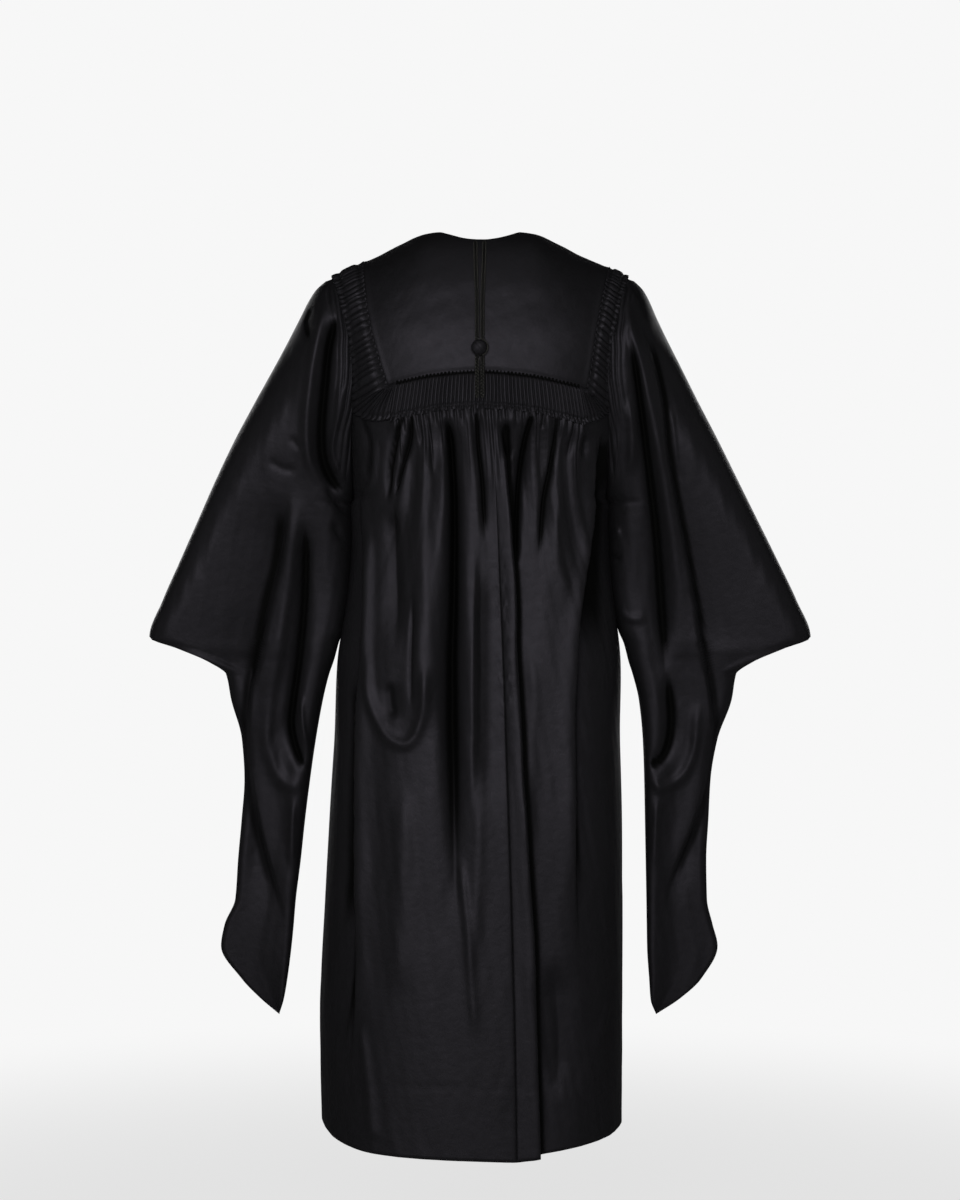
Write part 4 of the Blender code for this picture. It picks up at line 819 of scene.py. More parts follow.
def sleeve_strip(side, finish):
    """The fluted strip between yoke and sleeve, over the shoulder from the front to the fan at the back."""
    flutes = FRONT_FLUTES + TOP_FLUTES + FAN_FLUTES

    def strip_point(t, share, inner_end, outer_end):
        inner_down = t * way_down(*inner_end)
        outer_down = t * way_down(*outer_end)
        start = np.full(len(t), side * 0.17)
        inner_x, _ = settle(lambda height: yoke_side(side, height) - side * TUCK, inner_down, start)
        outer_x, _ = settle(lambda height: side * (seam_out(height) + STRIP_OVERLAP), outer_down, start)
        x = inner_x + (outer_x - inner_x) * share
        return x, height_below_shoulder(x, inner_down + (outer_down - inner_down) * share)

    def surface(along, share):
        flute_count = along * flutes
        lean = 0.5 * wander(flute_count * 0.7) * np.sin(math.pi * share)
        count = flute_count + lean * np.minimum(flute_count, flutes - flute_count).clip(0, 1)
        face = np.where(flute_count < FRONT_FLUTES, FRONT, BACK)
        corner = yoke_corner(side)
        front_inner = yoke_side(side, FRONT_YOKE_EDGE), FRONT_YOKE_EDGE
        front_outer = side * seam_out(FRONT_STRIP_END), FRONT_STRIP_END
        back_outer = side * seam_out(SEAM_MEETS_FAN), SEAM_MEETS_FAN
        t_front = np.clip(1 - flute_count / FRONT_FLUTES, 0, 1)
        x_front, height_front = strip_point(t_front, share, front_inner, front_outer)
        t_back = np.clip((flute_count - FRONT_FLUTES) / TOP_FLUTES, 0, 1)
        x_back, height_back = strip_point(t_back, share, tuple(corner), back_outer)
        t_fan = np.clip((flute_count - FRONT_FLUTES - TOP_FLUTES) / FAN_FLUTES, 0, 1)
        fan_x, fan_height = fan_edge(side, t_fan)
        corner_x = corner[0] - side * BAND_INSET * t_fan
        inner_x = corner_x - side * TUCK * (1 - t_fan)
        inner_height = YOKE_EDGE.at("height", corner_x) + TUCK * t_fan
        past = 1 + STRIP_OVERLAP / np.hypot(fan_x - corner_x, fan_height - inner_height)
        in_fan = flute_count > FRONT_FLUTES + TOP_FLUTES
        back_x = np.where(in_fan, inner_x + (fan_x - inner_x) * share * past, x_back)
        fan_down = inner_height + (fan_height - inner_height) * share * past
        x = np.where(face == FRONT, x_front, back_x)
        height = np.where(face == FRONT, height_front, np.where(in_fan, fan_down, height_back))
        length = np.where(in_fan, 0.040, 0.022)
        ragged = 0.002 * (chance(count * 2) - 0.5) * smooth_step(share * 2 - 1)
        from_outer = (1 - share) * length - STRIP_OVERLAP - ragged
        lift = fluted_lift(count, share * length - TUCK, from_outer) + 0.0004
        front, back = on_upper_body(x, height, FRONT, lift), on_upper_body(x, height, BACK, lift)
        flat = np.stack([share * length, flute_count * 0.0090], 1)
        stitched = np.minimum(np.abs(share * length - TUCK - 0.002), np.abs(from_outer - 0.0015))
        # Painted shade in the grooves between the flutes, fading out at the tucked inner edge.
        painted_shade = 0.60 * groove_shade(count) * smooth_step(share * length / 0.003)
        return np.where((face == FRONT)[:, None], front, back), flat, stitched, painted_shade

    cloth_piece(
        f"sleeve_fluting_{side_name(side)}", finish, (0.048, 0.480), "gathered", 0.0187,
        columns=flutes * 9, rows=20, surface=surface, inside=body_middle,
    )


def back_band(finish):
    """The fluted band under the back yoke, with the ragged edge of its gathers."""

    def surface(across, down):
        count = across * BAND_FLUTES
        drop = down * (BAND_HEIGHT + TUCK + BAND_OVERLAP) - TUCK
        share = np.clip(drop / BAND_HEIGHT, 0, 1)
        ends = []
        for side in (LEFT, RIGHT):
            corner = yoke_corner(side)
            top_x, low_x = corner[0] - side * BAND_INSET, corner[0] - side * BAND_END
            ends.append(top_x + (low_x - top_x) * share + side * 0.0016)
        x = ends[0] + (ends[1] - ends[0]) * across
        lean = 0.0016 * wander(count * 0.33) * np.sin(math.pi * share)
        ragged = 0.0022 * (chance(count * 1.5) - 0.5) * smooth_step(drop / 0.01 - 3.5)
        height = YOKE_EDGE.at("height", x) - drop - ragged
        lift = fluted_lift(count, drop, BAND_HEIGHT - drop) + 0.0004
        lift = lift - 0.0008 * near(np.minimum(count, BAND_FLUTES - count), 0.5)
        frill = 0.0010 * wander(count * 2.7) * smooth_step((drop - BAND_HEIGHT) / 0.004)
        x = x + (lean + frill) * np.sin(math.pi * across)
        stitched = np.minimum(np.abs(drop - 0.002), np.abs(BAND_HEIGHT - drop - 0.0015))
        # Painted shade in the grooves between the flutes, and a painted shadow line just under the yoke's
        # lapped edge.
        painted_shade = np.maximum(0.45 * groove_shade(count), near(drop - 0.0026, 0.0016))
        return on_upper_body(x, height, BACK, lift), np.stack([count * 0.0100, -drop], 1), stitched, painted_shade

    cloth_piece(
        "fluting_back", finish, (0.400, 0.053), "gathered",
        columns=BAND_FLUTES * 8, rows=38, surface=surface, inside=body_middle,
    )


def back_top(side, column):
    """The upper edge of a back panel: below the band, round the fan, then down the armhole."""
    band_columns = 2 * BACK_GATHERS
    fan_x, fan_height = fan_edge(side, np.clip(1 - (column - band_columns) / FAN_STEPS, 0, 1))
    arm_rows = [height for height in ARM_ROWS if height <= SEAM_MEETS_FAN]
    arm_height = np.interp(column - band_columns - FAN_STEPS, range(len(arm_rows)), arm_rows)
    band_end, _ = fan_edge(side, 1.0)
    start = CENTRE_SEAM.at("across", -0.250)
    band_x = start + (band_end - start) * np.clip(column / band_columns, 0, 1)
    band_height = YOKE_EDGE.at("height", band_x) - BAND_HEIGHT
    in_band, in_fan = column <= band_columns, column <= band_columns + FAN_STEPS
    x = np.where(in_band, band_x, np.where(in_fan, fan_x, side * seam_out(arm_height)))
    return x, np.where(in_band, band_height, np.where(in_fan, fan_height, arm_height))


def front_top(side, column):
    """The upper edge of a front panel: below the yoke and the strip, then down the armhole."""
    yoke_columns = 2 * FRONT_GATHERS
    arm_height = np.interp(column - yoke_columns - 1, range(len(ARM_ROWS)), ARM_ROWS)
    start = side * ZIP_EDGE
    yoke_x = start + (yoke_side(side, FRONT_YOKE_EDGE) - start) * np.clip(column / yoke_columns, 0, 1)
    in_yoke = column <= yoke_columns
    x = np.where(in_yoke, yoke_x, side * seam_out(arm_height))
    return x, np.where(in_yoke, FRONT_YOKE_EDGE, arm_height)


def back_centre(side, height):
    return CENTRE_SEAM.at("across", height)


def front_centre(side, height):
    return np.full(len(height), side * ZIP_EDGE)


def gathers(column, drop, count):
    """Small pleats under a sewn edge, no two alike, which run out one by one into the hanging cloth."""
    place = column / 2 + 0.30 * wander(column * 0.55)
    reach = 0.018 + 0.11 * chance(place) ** 2
    small = np.abs(np.cos(math.pi * place)) ** 0.8 - 0.55
    broad = np.cos(2 * math.pi * place / 3.1 + 0.8)
    inside = smooth_step((count * 2 + 1 - column) / 2)
    knots = 0.0012 * wander(column * 5.3) * near(drop, 0.012)
    swell = 0.0030 * bell(drop - 0.018, 0.016)
    fine = 0.0040 * small * smooth_step(drop / 0.004) * near(drop - 0.01, reach)
    wide = 0.0018 * broad * smooth_step(drop / 0.05) * near(drop - 0.05, 0.28)
    return (fine + wide + knots + swell) * inside


def seam_puckers(away, height):
    """The small catches of the cloth along the sewn centre-back seam."""
    strength = smooth_step((height + 0.74) / 0.10) * smooth_step((-0.40 - height) / 0.10)
    catch = wander(height * 190 + 3 * wander(away * 160)) * (0.6 + 0.4 * wander(height * 61 + 2))
    return 0.0016 * strength * catch * bell(away, 0.011)


def beside_sleeve(side, turn, height):
    """How far the side of the body swells out below the underarm, towards the sleeve."""
    level = smooth_step((UNDERARM + 0.006 - height) / 0.010) * smooth_step((height + 0.72) / 0.14)
    return side * SIDE_BULGE[side] * level * smooth_step((np.abs(turn) - 0.7) / 0.6)


def body_panel(side, face, finish):
    """A back or front panel: gathered into its top edge, falling to the hem in folds."""
    back = face == BACK
    folds, count = (BACK_FOLDS, BACK_GATHERS) if back else (FRONT_FOLDS, FRONT_GATHERS)
    top, centre = (back_top, back_centre) if back else (front_top, front_centre)
    arm_rows = [height for height in ARM_ROWS if not back or height <= SEAM_MEETS_FAN]
    columns = 2 * count + (FAN_STEPS - 1 if back else 0) + len(arm_rows)

    def surface(share, down):
        column = share * columns
        top_x, top_height = top(side, column)
        sewn_under = column <= columns - len(arm_rows)
        upper = top_height + TUCK * sewn_under
        foot = HEM.at(side_name(side), share if back else 2 - share)
        height = upper + (foot - upper) * down**1.25
        middle = ring_turn(centre(side, height), height)
        side_seam = side * math.pi / 2
        ease = smooth_step((top_height - height) / 0.45)
        start = ring_turn(*top(side, np.zeros(len(column))))
        top_share = (ring_turn(top_x, top_height) - start) / (side_seam - start)
        top_share = np.where(share == 1, 1, top_share)
        turn = middle + (side_seam - middle) * (top_share + (share - top_share) * ease)
        place, outward = ring_point(turn, height, face)
        place[:, 0] += beside_sleeve(side, turn, height)
        flat = np.stack([turn * FLAT_PER_RADIAN, height], 1)
        drop = top_height - height
        rise, painted_shade = fold_rise(flat, folds, flat_on_body)
        rise = rise + slack(flat, 0.0010 if back else 0.0022) * smooth_step(drop / 0.08)
        rise = rise * smooth_step((1 - share) / 0.06)
        if not back:
            rise = rise * smooth_step(share / 0.06)
        rise = rise * smooth_step(drop / 0.03) + gathers(column, np.maximum(drop, 0), count)
        from_centre = np.abs(flat[:, 0] - middle * FLAT_PER_RADIAN)
        from_side = np.abs(side_seam - turn) * FLAT_PER_RADIAN
        rise = rise + edge_dip(from_side, 0.0008) - 0.0014 * sewn_under * near(drop, 0.003)
        hem_away = np.abs(height - HEM_LINE)
        catches = 0.5 + 0.5 * wander(flat[:, 0] * 260)
        rise = rise - HEM_PUCKER * catches * bell(hem_away, 0.004)
        if back:
            rise = rise + edge_dip(from_centre, 0.0011) + seam_puckers(from_centre, height)
            stitched = hem_away
        else:
            rise = rise + 0.0008 * near(from_centre, 0.004)
            stitched = np.minimum(hem_away, np.abs(from_centre - STITCHES_IN))
        # The last answer is the folds' painted shade, faded out right under the sewn top edge.
        return place + outward * rise[:, None], flat, stitched, painted_shade * smooth_step(drop / 0.008)

    node = f"{'back' if back else 'front'}_panel_{side_name(side)}"
    cloth_piece(
        node, finish,
        (0.330, 1.030) if back else (0.310, 1.110), "gathered",
        columns=columns * 4, rows=250 if back else 160, surface=surface, inside=body_middle,
    )


def head_pleats(away, height):
    """The small pleats in which the sleeve's head is gathered into the armhole."""
    pleat = (away + 0.13 * height) / 0.0082 + 0.25 * wander(height * 23)
    reach = 0.030 + 0.012 * wander(height * 31 + 2)
    head = smooth_step((height + 0.37) / 0.06) * near(away, reach) * smooth_step(away / 0.003)
    return 0.0036 * (np.abs(np.cos(math.pi * pleat)) ** 0.8 - 0.5) * head


def sleeve(side, finish):
    """A sleeve: gathered into the armhole, with the wrist opening and the long closed point."""
    name = side_name(side)
    back_folds = LEFT_SLEEVE_FOLDS if side == LEFT else RIGHT_SLEEVE_FOLDS
    back_fine, edge_fine, front_fine = 8, 4, 4
    back_cells = SLEEVE_BACK_COLUMNS * back_fine
    cells = back_cells + edge_fine + SLEEVE_FRONT_COLUMNS * front_fine
    columns = SLEEVE_BACK_COLUMNS + 1 + SLEEVE_FRONT_COLUMNS
    key_heights = (SLEEVE_TOP, UNDERARM, WRIST_TIP, WRIST_LOW, SLEEVE_FOOT)
    key_rows = (0, 80, 126, 140, 244)
    rows = key_rows[-1]
    key_cells = (0, back_cells, back_cells + edge_fine, cells)
    key_columns = (0, SLEEVE_BACK_COLUMNS, SLEEVE_BACK_COLUMNS + 1, columns)
    wrist_heights = np.linspace(WRIST_TIP, WRIST_LOW, 6)
    wrist_edge = np.stack([SLEEVES.at(f"{name}_out", wrist_heights), wrist_heights], 1)

    def column_of(cell):
        return np.interp(cell, key_cells, key_columns)

    def surface(share_round, down):
        column = column_of(share_round * cells)
        height = np.interp(down * rows, key_rows, key_heights)
        on_back = column <= SLEEVE_BACK_COLUMNS + 0.5
        share = np.where(on_back, column / SLEEVE_BACK_COLUMNS, (columns - column) / SLEEVE_FRONT_COLUMNS)
        across = np.clip(0.992 * (share - 0.10 * np.sin(2 * math.pi * share)), 0, 1)
        face = np.where(on_back, BACK, FRONT)
        below = height <= UNDERARM
        beside_body = smooth_step((UNDERARM + 0.001 - height) / 0.004)
        beside_body = beside_body * smooth_step((height + 0.575) / 0.02)
        inner = SLEEVES.at(f"{name}_in", height) - SLEEVE_OVERHANG * beside_body
        inner = np.where(below, inner, seam_out(height) - SEAM_GAP)
        width = SLEEVES.at(f"{name}_out", height) - inner
        out = inner + width * across
        seam_x = side * seam_out(height)
        seam_depth = np.where(on_back, -surface_y(seam_x, height, BACK), surface_y(seam_x, height, FRONT))
        seam_depth = np.where(below, 0, seam_depth)
        thick_in, thick_out = SLEEVES.at("thick_in", height), SLEEVES.at("thick_out", height)
        middle = thick_in + (thick_out - thick_in) * smooth_step(across)
        wrist = np.clip((WRIST_TIP - height) / (WRIST_TIP - WRIST_LOW), 0, 1)
        rim = WRIST_OPENING * np.sin(math.pi * wrist) ** 0.6
        from_inner = width * across / np.maximum(thick_in, 1e-3)
        from_outer = width * (1 - across) / np.maximum(thick_out, 1e-3)
        grown = np.where(seam_depth > middle, smooth_step(from_inner), quarter_round(from_inner))
        closing = quarter_round(from_outer)
        half = middle * grown * closing + seam_depth * (1 - grown) + rim * (1 - closing)
        flat = np.stack([out, height], 1)
        away_in = np.minimum(width * across, width * (1 - across))
        back_rise, back_fold_shade = fold_rise(flat, back_folds, flat_on_sleeve)
        front_rise, front_fold_shade = fold_rise(flat, PLAIN_SLEEVE_FOLDS, flat_on_sleeve)
        # Painted shade from the back's or the front's folds, faded out within a centimetre of either edge.
        painted_shade = np.where(on_back, back_fold_shade, front_fold_shade) * smooth_step(away_in / 0.01)
        rise = np.where(on_back, back_rise, front_rise) + slack(flat, 0.0011)
        away = width * across
        rise = rise * smooth_step(away / 0.02) + head_pleats(away, height)
        rise = rise * smooth_step(width * (1 - across) / 0.03)
        half = np.maximum(half + rise, np.minimum(half, LEAST_SLEEVE_HALF))
        half = half - 0.0010 * near(away, 0.0025) * (~below)
        forward = SLEEVES.at("forward", height) * smooth_step(across * 2)
        places = np.stack([side * out, forward + face * half, height], 1)
        over = column / columns * math.pi
        top_y = np.cos(over) * surface_y(side * seam_out(SLEEVE_TOP), SLEEVE_TOP, BACK)
        top_height = SLEEVE_TOP + 0.003 * np.sin(over)
        top = np.stack([side * (seam_out(top_height) - SEAM_GAP), top_y, top_height], 1)
        places = np.where((down == 0)[:, None], top, places)
        point_x, point_y = side * SLEEVES.at(f"{name}_in", SLEEVE_FOOT), SLEEVES.at("forward", SLEEVE_FOOT)
        places = np.where((down == 1)[:, None], (point_x, point_y, SLEEVE_FOOT), places)
        from_wrist, _ = nearest_on(flat, wrist_edge)
        round_it = np.where(on_back, out, 2 * SLEEVES.at(f"{name}_out", height) - out)
        return places, np.stack([round_it, height], 1), np.abs(np.abs(from_wrist) - 0.025), painted_shade

    def inside(at):
        middle = (SLEEVES.at(f"{name}_in", at.z) + SLEEVES.at(f"{name}_out", at.z)) / 2
        return side * middle, SLEEVES.at("forward", at.z), at.z

    def opened(share_round, down):
        height = np.interp(down * rows, key_rows, key_heights)
        return int(column_of(share_round * cells)) == SLEEVE_BACK_COLUMNS and WRIST_LOW < height < WRIST_TIP

    cloth_piece(
        f"sleeve_{name}", finish, (0.560, 1.060), "hung", 0.360,
        columns=cells, rows=rows, surface=surface, inside=inside, opened=opened,
    )


def tube(mesh, flat_map, path, radius, sides=8):
    """A round strand along a path, closed at both ends, added to a mesh."""
    rings = len(path) - 1
    made = bmesh.ops.create_grid(mesh, x_segments=sides, y_segments=rings, size=0.5)["verts"]
    tangents = np.gradient(path, axis=0)
    tangents /= np.linalg.norm(tangents, axis=1)[:, None]
    outward = np.array([0.0, -1.0, 0.0]) + tangents * tangents[:, 1:2]
    outward /= np.linalg.norm(outward, axis=1)[:, None]
    beside = np.cross(tangents, outward)
    lengths = np.concatenate([[0], np.cumsum(np.linalg.norm(np.diff(path, axis=0), axis=1))])
    flat = {}
    for corner in made:
        turn, ring = corner.co.x + 0.5, round((0.5 - corner.co.y) * rings)
        size = radius * (0.05 if ring in (0, rings) else 1)
        angle = turn * 2 * math.pi
        corner.co = path[ring] + size * (math.cos(angle) * outward[ring] + math.sin(angle) * beside[ring])
        flat[corner] = turn * 2 * math.pi * radius, lengths[ring]
    lay_flat({face for corner in made for face in corner.link_faces}, flat_map, flat)
    bmesh.ops.remove_doubles(mesh, verts=made, dist=1e-6)


def cord(side, finish):
    """One of the two braided cords, three strands each, sewn side by side down the back."""
    braid = bmesh.new()
    flat_map = braid.loops.layers.uv.new("flat_cloth")
    along = np.linspace(0, 1, 230)
    height = CORD_TOP + (CORD_END - CORD_TOP) * along
    apart = CORD_APART + CORD_SPREAD * smooth_step((height + 0.12) / 0.09)
    ended = smooth_step(np.minimum(along, 1 - along) / 0.02)
    over_flutes = FLUTE_HEIGHT * smooth_step((-0.186 - height) / 0.010)
    for strand in range(3):
        phase = 2 * math.pi * (along * (CORD_TOP - CORD_END) / PLAIT_LENGTH + strand / 3)
        x = CORD_MIDDLE + side * apart + STRAND_SWING * np.sin(phase) * ended
        lift = 0.0016 + over_flutes + STRAND_LIFT * np.sin(2 * phase) * ended
        tube(braid, flat_map, on_upper_body(x, height, BACK, lift), STRAND_RADIUS)
    if side == RIGHT:
        turns = np.linspace(math.radians(-68), math.radians(80), 40)
        for strand in range(2):
            phase = np.linspace(0, 9 * math.pi, 40) + strand * math.pi
            radius = LOOP_RADIUS * (1 + 0.06 * np.cos(phase))
            x, height = BUTTON_PLACE[0] + radius * np.cos(turns), BUTTON_PLACE[1] + radius * np.sin(turns)
            lift = 0.0052 + 0.0007 * np.sin(phase)
            tube(braid, flat_map, on_upper_body(x, height, BACK, lift), LOOP_STRAND, 6)
    bmesh.ops.recalc_face_normals(braid, faces=braid.faces)
    dress(made_object(f"braided_cord_{side_name(side)}", braid), finish, "braid", f"cord_{side_name(side)}")


def button(finish):
    """The domed button, covered in satin that is drawn in small pleats under its rim."""
    ball = bmesh.new()
    bmesh.ops.create_uvsphere(ball, u_segments=72, v_segments=40, radius=1.0)
    x, height = BUTTON_PLACE
    seat = float(surface_y(x, height, BACK)) - BUTTON_SEAT
    flat = {}
    for corner in ball.verts:
        across, up, out = corner.co
        turn = math.atan2(up, across)
        pleats = 1 + 0.025 * math.cos(BUTTON_PLEATS * turn) * max(0.0, 0.6 - abs(out)) * (out < 0.45)
        crease = math.exp(-(((across + 0.9 * up - 0.10) / 0.16) ** 2)) * max(0.0, out)
        bulge = out * 0.8 if out > 0 else out * 0.2
        depth = BUTTON_HEIGHT * (0.2 + bulge) - 0.0007 * crease
        corner.co = x + across * BUTTON_RADIUS * pleats, seat - depth, height + up * BUTTON_RADIUS * pleats
        flat[corner] = across * BUTTON_RADIUS, up * BUTTON_RADIUS
    lay_flat(ball.faces, ball.loops.layers.uv.new("flat_cloth"), flat)
    bmesh.ops.recalc_face_normals(ball, faces=ball.faces)
    dress(made_object("covered_button", ball), finish, "satin_cloth", "button")


def zip_fastener(tape_finish, coil_finish):
    """The closed zip: its woven tape under the panels' edges, and the interlocked coil down the middle."""

    def surface(across, down):
        x = TAPE_HALF_WIDTH * (2 * across - 1)
        height = ZIP_TOP + (ZIP_END - ZIP_TOP) * down
        lift = -0.0006 - 0.0004 * np.abs(2 * across - 1)
        return on_upper_body(x, height, FRONT, lift), np.stack([x, height], 1), np.ones(len(x))

    tape = laid_cloth("zip_tape", 8, 220, surface, body_middle)
    tape.modifiers.new("wall", "SOLIDIFY").thickness = TAPE_THICKNESS
    tooth = bmesh.new()
    bmesh.ops.create_cube(tooth, size=1.0)
    bmesh.ops.scale(tooth, vec=TOOTH_SIZE, verts=tooth.verts)
    bmesh.ops.bevel(
        tooth, geom=tooth.edges, affect="EDGES", offset_type="OFFSET",
        offset=0.00028, segments=1, profile=0.5, material=-1,
    )
    pattern = bpy.data.meshes.new("zip_tooth")
    tooth.to_mesh(pattern)
    tooth.free()
    coil = bmesh.new()
    heights = np.arange(ZIP_TOP - 0.002, ZIP_END + 0.003, -TOOTH_PITCH)
    sides = np.where(np.arange(len(heights)) % 2, RIGHT, LEFT)
    for place in on_upper_body(sides * TOOTH_OUT, heights, FRONT, np.full(len(heights), 0.0003)):
        start = len(coil.verts)
        coil.from_mesh(pattern)
        coil.verts.ensure_lookup_table()
        bmesh.ops.translate(coil, vec=place, verts=coil.verts[start:])
    bpy.data.meshes.remove(pattern)
    dress(tape, tape_finish, "zip_plastic", "zip")
    dress(made_object("zip_coil", coil, smooth=False), coil_finish, "zip_plastic")


class Wire:
    """A shader socket; arithmetic on it adds the Math node that works it out."""

    def __init__(self, finish, socket):
        self.finish, self.socket = finish, socket

    def maths(self, operation, *values):
        return self.finish.add("ShaderNodeMath", {"operation": operation}, dict(enumerate(values)))

    def __add__(self, other):
        return self.maths("ADD", self, other)

    def __mul__(self, other):
        return self.maths("MULTIPLY", self, other)

    __radd__, __rmul__ = __add__, __mul__

    def wave(self, period):
        """A wave from -1 to 1 that repeats after this many metres."""
        return self.maths("SINE", self * (2 * math.pi / period))


class Finish:
    """A material while its nodes are wired."""

    def __init__(self, name, **plain):
        self.material = bpy.data.materials.new(name)
        self.material.use_nodes = True
        self.nodes = self.material.node_tree.nodes
        self.links = self.material.node_tree.links
        self.shader = self.nodes["Principled BSDF"]
        self.feed(**plain)

    def add(self, kind, settings=None, sockets=None, output=0):
        """Adds a node with its settings and the values or links of its sockets, and gives an output."""
        node = self.nodes.new(kind)
        for setting, value in (settings or {}).items():
            setattr(node, setting, value)
        for socket, value in (sockets or {}).items():
            self.plug(value, node.inputs[socket])
        return Wire(self, node.outputs[output])

    def plug(self, value, socket):
        if isinstance(value, Wire):
            self.links.new(value.socket, socket)
        else:
            socket.default_value = value

    def feed(self, **sockets):
        for socket, value in sockets.items():
            self.plug(value, self.shader.inputs[socket.replace("_", " ")])

    def show(self, surface):
        """Puts a mixed shader on the surface in place of the plain one."""
        self.plug(surface, self.nodes["Material Output"].inputs["Surface"])

    def flat_cloth(self):
        """Where a point lies on the cut cloth, in metres across and along."""
        place = self.add("ShaderNodeUVMap", {"uv_map": "flat_cloth"})
        across = self.add("ShaderNodeSeparateXYZ", {}, {0: place})
        return across, Wire(self, across.socket.node.outputs[1])

    def attribute(self, name):
        return self.add("ShaderNodeAttribute", {"attribute_name": name}, output=2)

    def eased(self, value, low, high, at_low, at_high):
        """A value's way from low to high, as a smooth way between two other values."""
        ends = {0: value, 1: low, 2: high, 3: at_low, 4: at_high}
        return self.add("ShaderNodeMapRange", {"interpolation_type": "SMOOTHSTEP"}, ends)

    def noise(self, place, scale, detail=2.0, **settings):
        return self.add("ShaderNodeTexNoise", settings, {"Vector": place, "Scale": scale, "Detail": detail})

    def blend(self, factor, low, high):
        colours = {0: factor, 6: (*low, 1), 7: (*high, 1)}
        return self.add("ShaderNodeMix", {"data_type": "RGBA"}, colours, output=2)

    def bump(self, height, distance, strength=1.0, normal=None):
        sockets = {"Height": height, "Distance": distance, "Strength": strength}
        if normal:
            sockets["Normal"] = normal
        return self.add("ShaderNodeBump", {}, sockets)

    def body_place(self):
        return self.add("ShaderNodeTexCoord", output=3)


def satin():
    """Black polyester satin: smooth long floats with a soft bluish sheen, finely uneven."""
    finish = Finish("black_satin", Specular_IOR_Level=0.45, Specular_Tint=(0.90, 0.84, 1.0, 1))
    across, along = finish.flat_cloth()
    place = finish.body_place()
    broad = finish.noise(place, 7.0, 3.0)
    mottle = finish.noise(place, 90.0, 3.0)
    grain = finish.noise(place, 420.0, 1.0)
    floats = across.wave(0.00042) * 0.5 + (along + across * 0.5).wave(0.0011) * 0.5
    on_stitches = finish.eased(finish.attribute("from_stitches"), 0.0, 0.0007, 1.0, 0.0)
    dashes = finish.eased((across + along).wave(0.0030), -0.4, 0.2, 0.0, 1.0)
    tone = broad * 0.5 + mottle * 0.5
    finish.feed(
        Base_Color=finish.blend(tone, (0.0060, 0.0060, 0.0062), (0.0100, 0.0100, 0.0105)),
        Roughness=0.42 + 0.14 * mottle + 0.06 * broad,
    )
    weave = finish.bump(floats * 0.5 + grain, 0.00006, 0.6)
    soft = finish.bump(mottle, 0.0010, 0.5, weave)
    finish.feed(Normal=finish.bump(on_stitches * dashes, 0.0004, 0.7, soft))
    # A black matt copy of the satin, mixed in where the pieces paint shade: fold bottoms, flute grooves and
    # under the yoke's edge.
    matt = {"Base Color": (0.0030, 0.0030, 0.0029, 1), "Roughness": 0.7, "Specular IOR Level": 0.04}
    satin_in_shade = finish.add("ShaderNodeBsdfPrincipled", {}, matt)
    lit = Wire(finish, finish.shader.outputs[0])
    finish.show(finish.add("ShaderNodeMixShader", {}, {0: finish.attribute("painted_fold_shade"), 1: lit, 2: satin_in_shade}))
    return finish.material


def braid():
    """The braid's yarn, twisted, with a matt rayon look."""
    finish = Finish("black_braid", Specular_IOR_Level=0.90, Specular_Tint=(1.0, 0.98, 0.88, 1))
    across, along = finish.flat_cloth()
    twist = (across * 1.2 + along).wave(0.0011)
    fuzz = finish.noise(finish.body_place(), 900.0, 2.0)
    finish.feed(
        Base_Color=finish.blend(fuzz, (0.006, 0.006, 0.0060), (0.016, 0.016, 0.0155)),
        Roughness=0.34 + 0.15 * fuzz,
        Normal=finish.bump(twist * 0.5 + fuzz, 0.00016, 0.9),
    )
    return finish.material


def tape_weave():
    """The zip tape's woven ribs."""
    finish = Finish("black_zip_tape")
    across, along = finish.flat_cloth()
    ribs = across.wave(0.0008) * 0.6 + along.wave(0.0010) * 0.4
    fuzz = finish.noise(finish.body_place(), 700.0, 2.0)
    finish.feed(
        Base_Color=finish.blend(fuzz, (0.008, 0.008, 0.009), (0.016, 0.016, 0.018)),
        Roughness=0.70 + 0.1 * fuzz,
        Normal=finish.bump(ribs + fuzz, 0.00012, 0.8),
    )
    return finish.material


def moulded(name, low, high, roughness, coat=0.0, metallic=0.0):
    """Moulded plastic or enamelled metal, faintly rubbed."""
    finish = Finish(name, Coat_Weight=coat, Coat_Roughness=0.25, Metallic=metallic)
    place = finish.body_place()
    rubbed, grain = finish.noise(place, 240.0, 4.0), finish.noise(place, 1500.0, 2.0)
    finish.feed(
        Base_Color=finish.blend(rubbed, low, high),
        Roughness=roughness + 0.16 * rubbed,
        Normal=finish.bump(grain + rubbed, 0.00005, 0.5),
    )
    return finish.material


def stage_piece(name, mesh, finish, smooth):
    """A piece of the studio, which is lit and seen but isn't part of the gown."""
    piece = made_object(name, mesh, smooth)
    piece.data.materials.append(finish.material)
    return piece


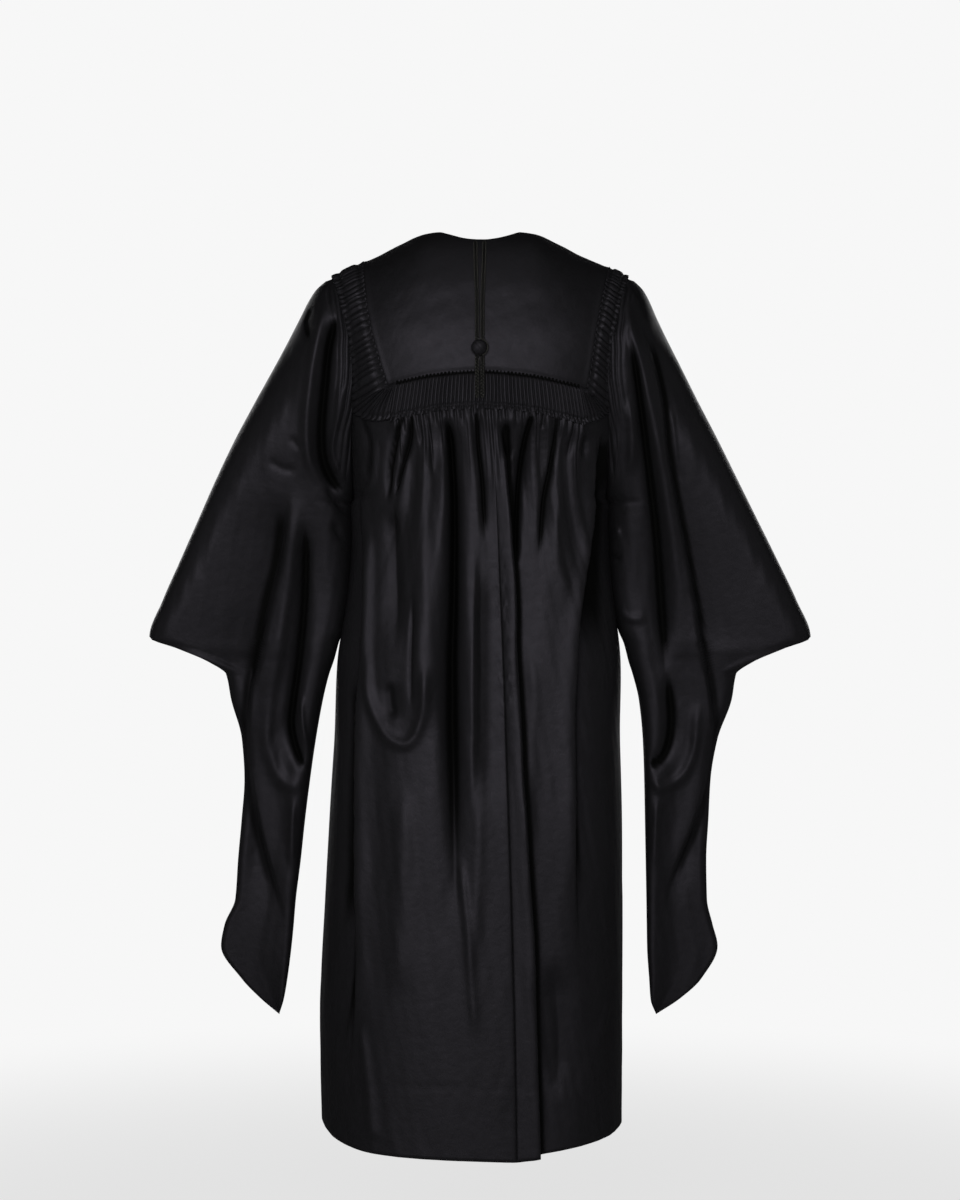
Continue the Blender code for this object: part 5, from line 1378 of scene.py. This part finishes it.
def studio():
    """A plain pale floor and backdrop, soft boxes on all sides, and the camera behind the gown."""
    pale = Finish("pale_backdrop")
    pale.show(pale.add("ShaderNodeEmission", {}, {"Color": PALE_GLOW}))
    dome = bmesh.new()
    bmesh.ops.create_icosphere(dome, subdivisions=5, radius=BACKDROP_RADIUS)
    bmesh.ops.reverse_faces(dome, faces=dome.faces)
    backdrop = stage_piece("backdrop", dome, pale, smooth=True)
    for ray in ("diffuse", "glossy", "transmission", "volume_scatter", "shadow"):
        setattr(backdrop, f"visible_{ray}", False)
    ground = Finish("pale_floor")
    glow = ground.add("ShaderNodeEmission", {}, {"Color": PALE_GLOW})
    matt = ground.add("ShaderNodeBsdfDiffuse", {}, {"Color": (0.80, 0.80, 0.80, 1)})
    away = ground.add("ShaderNodeVectorMath", {"operation": "LENGTH"}, {0: ground.body_place()}, output=1)
    under_gown = ground.eased(away, 1.55, 2.6, 0.22, 0.0)
    ground.show(ground.add("ShaderNodeMixShader", {}, {0: under_gown, 1: glow, 2: matt}))
    disc = bmesh.new()
    bmesh.ops.create_circle(disc, cap_ends=True, segments=96, radius=FLOOR_RADIUS)
    bmesh.ops.translate(disc, vec=(0, 0, FLOOR_HEIGHT), verts=disc.verts)
    floor = stage_piece("floor", disc, ground, smooth=False)
    floor.visible_glossy = False
    for name, place, size, power in (
        ("key", (-0.5, -4.3, 0.60), (3.0, 1.6), 62),
        ("side_left", (-3.4, -0.4, 0.6), (1.2, 2.0), 1.5),
        ("side_right", (3.4, -0.4, 0.6), (1.2, 2.0), 1.5),
        ("far_left", (-2.0, 3.9, 0.5), (1.5, 2.0), 25),
        ("far_right", (2.0, 3.9, 0.5), (1.5, 2.0), 25),
        ("top", (0.0, -1.2, 3.2), (2.4, 2.4), 6),
    ):
        data = bpy.data.lights.new(name, "AREA")
        data.shape, data.size, data.size_y, data.energy = "RECTANGLE", *size, power
        lamp = bpy.data.objects.new(name, data)
        lamp.location = place
        lamp.visible_camera = False
        lamp.rotation_euler = (Vector(LIGHTS_AIM) - Vector(place)).to_track_quat("-Z", "Y").to_euler()
        bpy.context.scene.collection.objects.link(lamp)
    world = bpy.context.scene.world or bpy.data.worlds.new("studio")
    bpy.context.scene.world = world
    world.use_nodes = True
    world.node_tree.nodes["Background"].inputs["Color"].default_value = (0.008, 0.008, 0.008, 1)
    bpy.context.scene.view_settings.view_transform = "Standard"
    data = bpy.data.cameras.new("behind")
    data.lens, data.sensor_width = CAMERA_LENS, 36
    camera = bpy.data.objects.new("behind", data)
    camera.location = CAMERA_PLACE
    camera.rotation_euler = (math.pi / 2, 0, 0)
    bpy.context.scene.collection.objects.link(camera)
    bpy.context.scene.camera = camera


studio()
black_satin = satin()
back_yoke(black_satin)
back_band(black_satin)
for side in (LEFT, RIGHT):
    front_yoke(side, black_satin)
    sleeve_strip(side, black_satin)
    body_panel(side, BACK, black_satin)
    body_panel(side, FRONT, black_satin)
    sleeve(side, black_satin)
black_braid = braid()
for side in (LEFT, RIGHT):
    cord(side, black_braid)
button(black_satin)
black_coil = moulded("black_zip_coil", (0.008, 0.008, 0.009), (0.016, 0.016, 0.018), 0.35)
zip_fastener(tape_weave(), black_coil)
enamel = moulded("black_enamel", (0.012, 0.012, 0.013), (0.035, 0.035, 0.037), 0.28, coat=0.4, metallic=0.6)
for node in ("zip_slider", "zip_pull_tab"):
    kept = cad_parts[node]
    kept.data.materials.clear()
    kept.data.materials.append(enamel)
